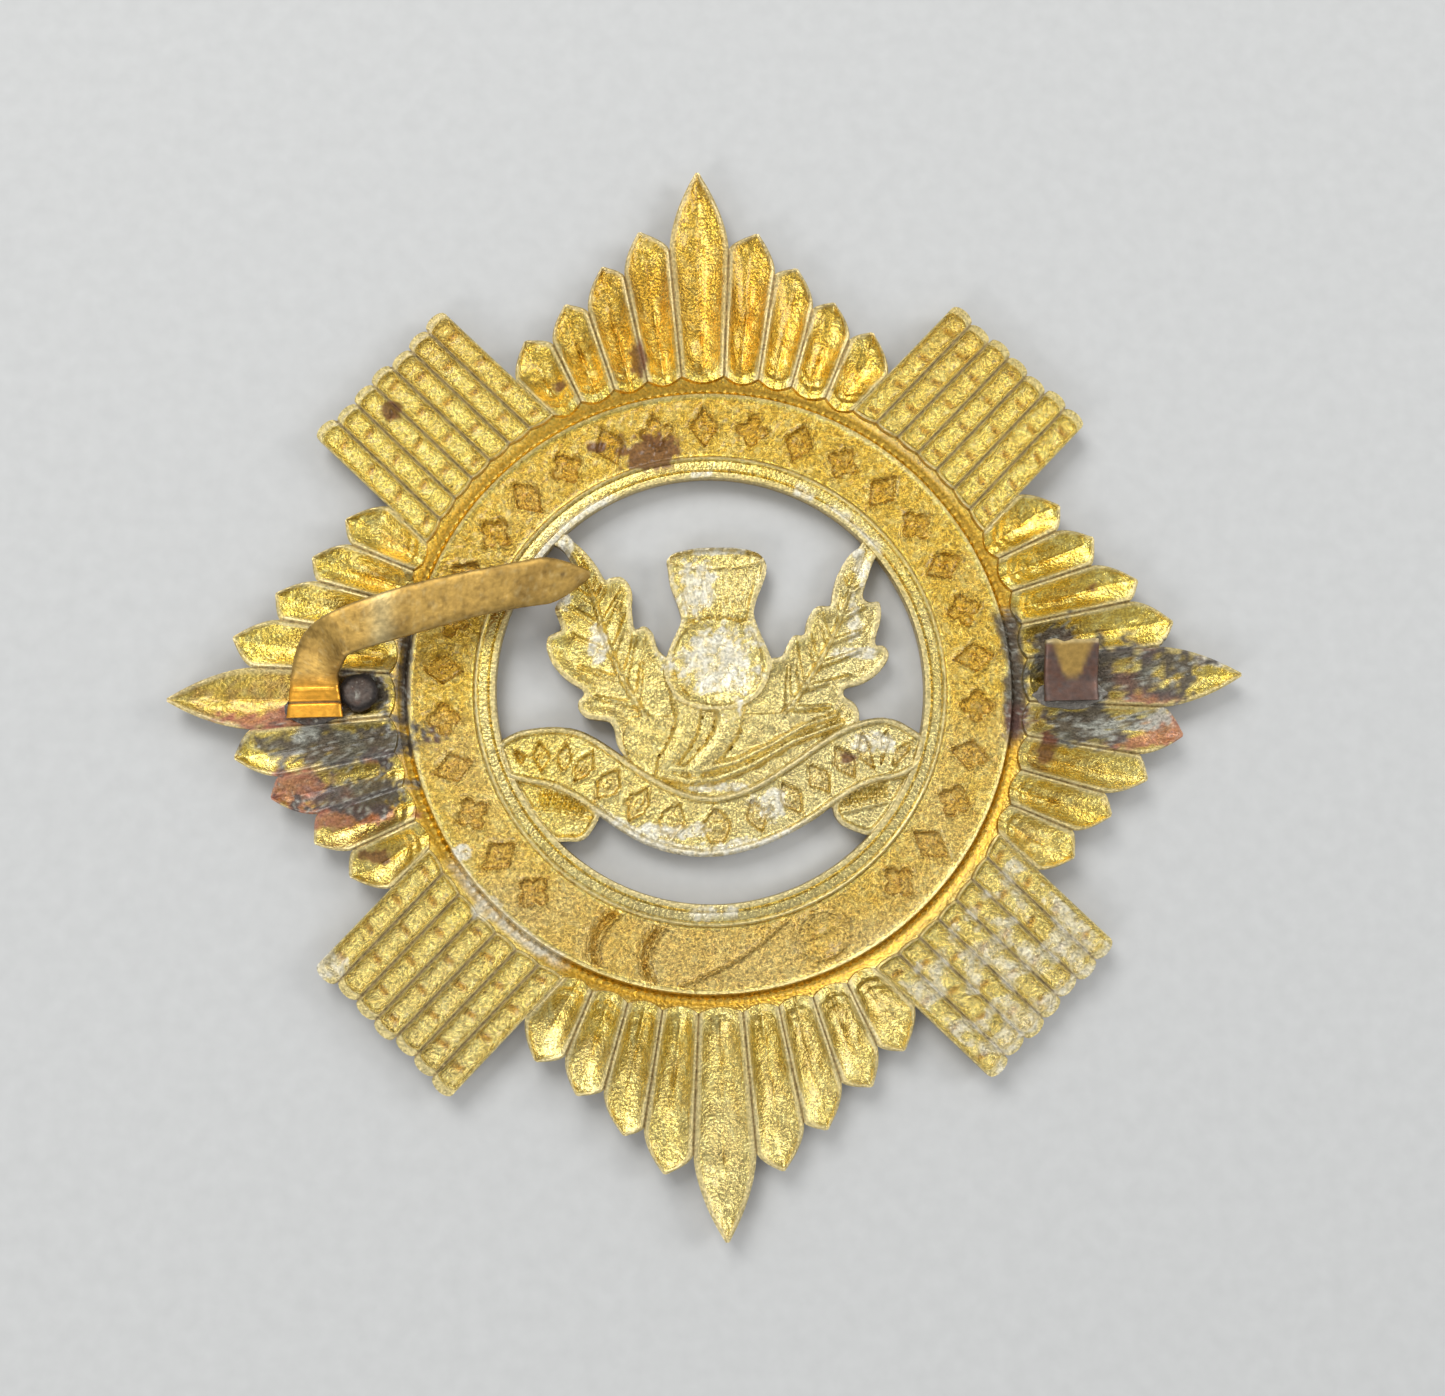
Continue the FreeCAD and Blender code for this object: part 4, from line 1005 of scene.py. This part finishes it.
STUB_LEFT, STUB_RIGHT = 20.42, 23.78
STUB_FOOT, STUB_TOE = -1.4, -0.4
STUB_REACH = 2.9
STUB_LEAN = 20.0


def make_stub(material):
    """Broken right prong: soldered foot, a bend, and a leaning strip with a ragged end."""
    across = (STUB_LEFT + STUB_RIGHT) / 2 + SECTION_SHARES * (STUB_RIGHT - STUB_LEFT) / 2
    run = np.linspace(0, 1, 44)[:, None]
    length = STUB_TOE - STUB_FOOT + STUB_REACH
    ragged = (noise(across, across * 0, 0.6, 7) - 0.5) * 0.28 - 0.12
    way = run * (length + ragged)
    lean = np.maximum(way - (STUB_TOE - STUB_FOOT), 0)
    bend = np.sqrt(lean ** 2 + 0.12) - math.sqrt(0.12)
    y = STUB_FOOT + way - lean + lean * math.cos(math.radians(STUB_LEAN))
    z = LEVEL - 0.01 + bend * math.sin(math.radians(STUB_LEAN))
    edge = np.abs(SECTION_SHARES)
    swell = STRIP_THICKNESS / 2 * unit(1 - edge ** 9) ** 0.4 * 0.94
    thin = 1 - 0.5 * step(0.93, 1.0, run)
    x = np.broadcast_to(across, y.shape)
    dents = (fractal(x, y, 0.9, 93) - 0.5) * 0.07
    upper = np.stack([x, y, z + swell * thin + dents - 0.03], -1)
    lower = np.stack([x, y, z - swell * thin], -1)
    mesh = Mesh()
    mesh.shell(upper, lower, np.broadcast_to(step(0.88, 1, edge), y.shape))
    return make_piece("right_prong_remnant", mesh, material, paint_prong, 50)


def make_pool(name, middle, half, base, height, seed, material):
    """Lump of solder: a low dome with a ragged, rounded edge, dimpled on top."""
    turn = (np.arange(120) * 2 * math.pi / 120)[:, None]
    share = np.linspace(0.02, 1, 26)[None, :]
    ragged = 1 - 0.13 * noise(np.cos(turn) * 3, np.sin(turn) * 3, 1.0, seed)
    x = middle[0] + half[0] * np.cos(turn) * share * ragged
    y = middle[1] + half[1] * np.sin(turn) * share * ragged
    dome = unit(1 - share ** 2.6) ** 0.55
    top = base + height * dome * (0.82 + 0.3 * (fractal(x, y, 0.5, seed) - 0.4))
    top = np.clip(top, base + 0.004, base + height)
    mesh = Mesh()
    mesh.slab(x, y, top, np.full(x.shape, base), np.zeros(x.shape), closed=True)
    return make_piece(name, mesh, material, paint_solder, 60)


# ---- materials

FLOOR_GRAIN = 900

def new_material(name):
    material = bpy.data.materials.new(name)
    material.use_nodes = True
    return material, material.node_tree, material.node_tree.nodes["Principled BSDF"]


def feed(tree, node, inputs):
    """Gives a node's inputs constant values or links from other nodes' outputs."""
    for label, value in inputs.items():
        if isinstance(value, bpy.types.NodeSocket):
            tree.links.new(value, node.inputs[label])
        else:
            node.inputs[label].default_value = value


def add_node(tree, kind, output, inputs, **settings):
    """Output socket of a new shader node with these inputs and settings."""
    node = tree.nodes.new("ShaderNode" + kind)
    for label, value in settings.items():
        setattr(node, label, value)
    feed(tree, node, inputs)
    return node.outputs[output]


def metal_material(name, grain, bump, mottle, coat):
    """Metal painted by its points' attributes, mottled and pitted at the grain's scale."""
    material, tree, shader = new_material(name)
    tint = add_node(tree, "Attribute", "Color", {}, attribute_name="tint")
    rough, metal, grit = (
        add_node(tree, "Attribute", "Fac", {}, attribute_name=label)
        for label in ("rough", "metal", "grit")
    )
    place = add_node(tree, "TexCoord", "Object", {})
    fine, broad = (
        add_node(tree, "TexNoise", "Fac", {"Vector": place, "Scale": scale, "Detail": detail})
        for scale, detail in ((1 / (grain * MM), 5), (1 / (grain * 5 * MM), 3))
    )
    shade = add_node(tree, "MapRange", "Result", {
        "Value": fine, "From Min": 0.3, "From Max": 0.7, "To Min": 1 - mottle, "To Max": 1 + mottle * 0.6,
    })
    shaded = add_node(tree, "VectorMath", "Vector", {0: tint, "Scale": shade}, operation="SCALE")
    duller = add_node(tree, "Math", "Value", {0: broad, 1: 0.3, 2: rough}, operation="MULTIPLY_ADD")
    centred = add_node(
        tree, "Math", "Value", {0: duller, 1: 0.15}, operation="SUBTRACT", use_clamp=True,
    )
    strength = add_node(tree, "Math", "Value", {0: grit, 1: bump}, operation="MULTIPLY")
    relief = add_node(
        tree, "Bump", "Normal", {"Strength": strength, "Distance": 0.12 * MM, "Height": fine},
    )
    feed(tree, shader, {
        "Base Color": shaded, "Roughness": centred, "Metallic": metal, "Normal": relief,
        "Coat Weight": coat, "Coat Roughness": 0.14,
    })
    return material


def floor_material():
    """Matt pale card with a faint grain."""
    material, tree, shader = new_material("pale_card")
    place = add_node(tree, "TexCoord", "Object", {})
    grain = add_node(tree, "TexNoise", "Fac", {"Vector": place, "Scale": FLOOR_GRAIN})
    shade = add_node(tree, "ValToRGB", "Color", {"Fac": grain})
    darkest, palest = shade.node.color_ramp.elements
    darkest.color, palest.color = (*linear(188, 188, 186), 1), (*linear(199, 199, 197), 1)
    feed(tree, shader, {"Roughness": 0.85, "Base Color": shade})
    return material


# ---- the badge

gilt = metal_material("gilt_brass", 0.17, 1.25, 0.42, 0.4)
prong_brass = metal_material("prong_brass", 0.3, 0.3, 0.22, 0.0)
solder = metal_material("burnt_solder", 0.25, 0.8, 0.3, 0.0)

for piece in (make_rays(gilt), make_arms(gilt), make_strap(gilt), make_motif(gilt)):
    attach(piece, "badge")
    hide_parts("badge_plate")

SPLIT = 1.5
root = make_strip("left_prong_root", 0.0, SPLIT, 110, prong_brass)
blade = make_strip("left_prong_strip", SPLIT, 3.0, 170, prong_brass)
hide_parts("left_prong_foot", "left_prong_riser")
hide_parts("left_prong_riser", "left_prong_blade")
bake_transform(root)
elbow, heading, _ = strip_station(2.0)
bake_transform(blade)

stub = make_stub(prong_brass)
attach(stub, "badge")
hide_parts("right_prong_stub")

POOLS = (
    ("left_solder", "left_solder_bed", (-24.2, -0.75), (1.85, 1.0), 0.15, 3),
    ("right_solder", "right_solder_bed", (22.1, -0.95), (2.4, 1.0), 0.15, 5),
    ("solder_drop", "solder_blob", (-21.4, 0.2), (1.25, 1.25), 0.45, 8),
)
for name, node, middle, half, height, seed in POOLS:
    pool = make_pool(name, middle, half, BACK, height, seed, solder)
    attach(pool, "badge")
    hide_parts(node)

# ---- floor, light and camera

FLOOR_HALF = 1.2
floor_mesh = bpy.data.meshes.new("floor")
corners = [(x * FLOOR_HALF, y * FLOOR_HALF, 0) for x, y in ((-1, -1), (1, -1), (1, 1), (-1, 1))]
floor_mesh.from_pydata(corners, [], [(0, 1, 2, 3)])
floor_mesh.materials.append(floor_material())
floor = add_object("floor", floor_mesh)
floor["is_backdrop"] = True

world = bpy.data.worlds.new("studio")
bpy.context.scene.world = world
world.use_nodes = True
backdrop = world.node_tree.nodes["Background"]
feed(world.node_tree, backdrop, {"Color": (0.93, 0.96, 1.0, 1), "Strength": 0.56})


def soft_light(name, place, size, power):
    """Square soft light at a place in millimetres, aimed at the badge's middle."""
    light = bpy.data.lights.new(name, "AREA")
    light.size = size * MM
    light.energy = power
    lamp = add_object(name, light)
    lamp.location = Vector(place) * MM
    lamp.rotation_euler = lamp.location.to_track_quat("Z", "Y").to_euler()


soft_light("key", (-110, 190, 270), 170, 0.66)
soft_light("fill", (230, 40, 170), 110, 0.22)
soft_light("front", (-170, -190, 190), 110, 0.22)
bpy.context.scene.view_settings.view_transform = "Standard"

# The camera stands nearly over the badge, tilted a little to its lower left.
VIEW_DISTANCE = 97.92
TILT_X, TILT_Y, ROLL = (math.radians(degrees) for degrees in (6.64, 2.26, 1.36))
facing = (
    Matrix.Rotation(TILT_Y, 3, "Y") @ Matrix.Rotation(-TILT_X, 3, "X") @ Matrix.Rotation(ROLL, 3, "Z")
).transposed()
lens = bpy.data.cameras.new("photo_view")
lens.sensor_width, lens.lens = 36, 39.84
lens.shift_x, lens.shift_y = 0.00745, -0.00758
lens.clip_start = 0.005
camera = add_object("photo_view", lens)
stand = facing @ Vector((0, 0, VIEW_DISTANCE)) + Vector((0, 0, BACK))
camera.matrix_world = Matrix.Translation(stand * MM) @ facing.to_4x4()
bpy.context.scene.camera = camera
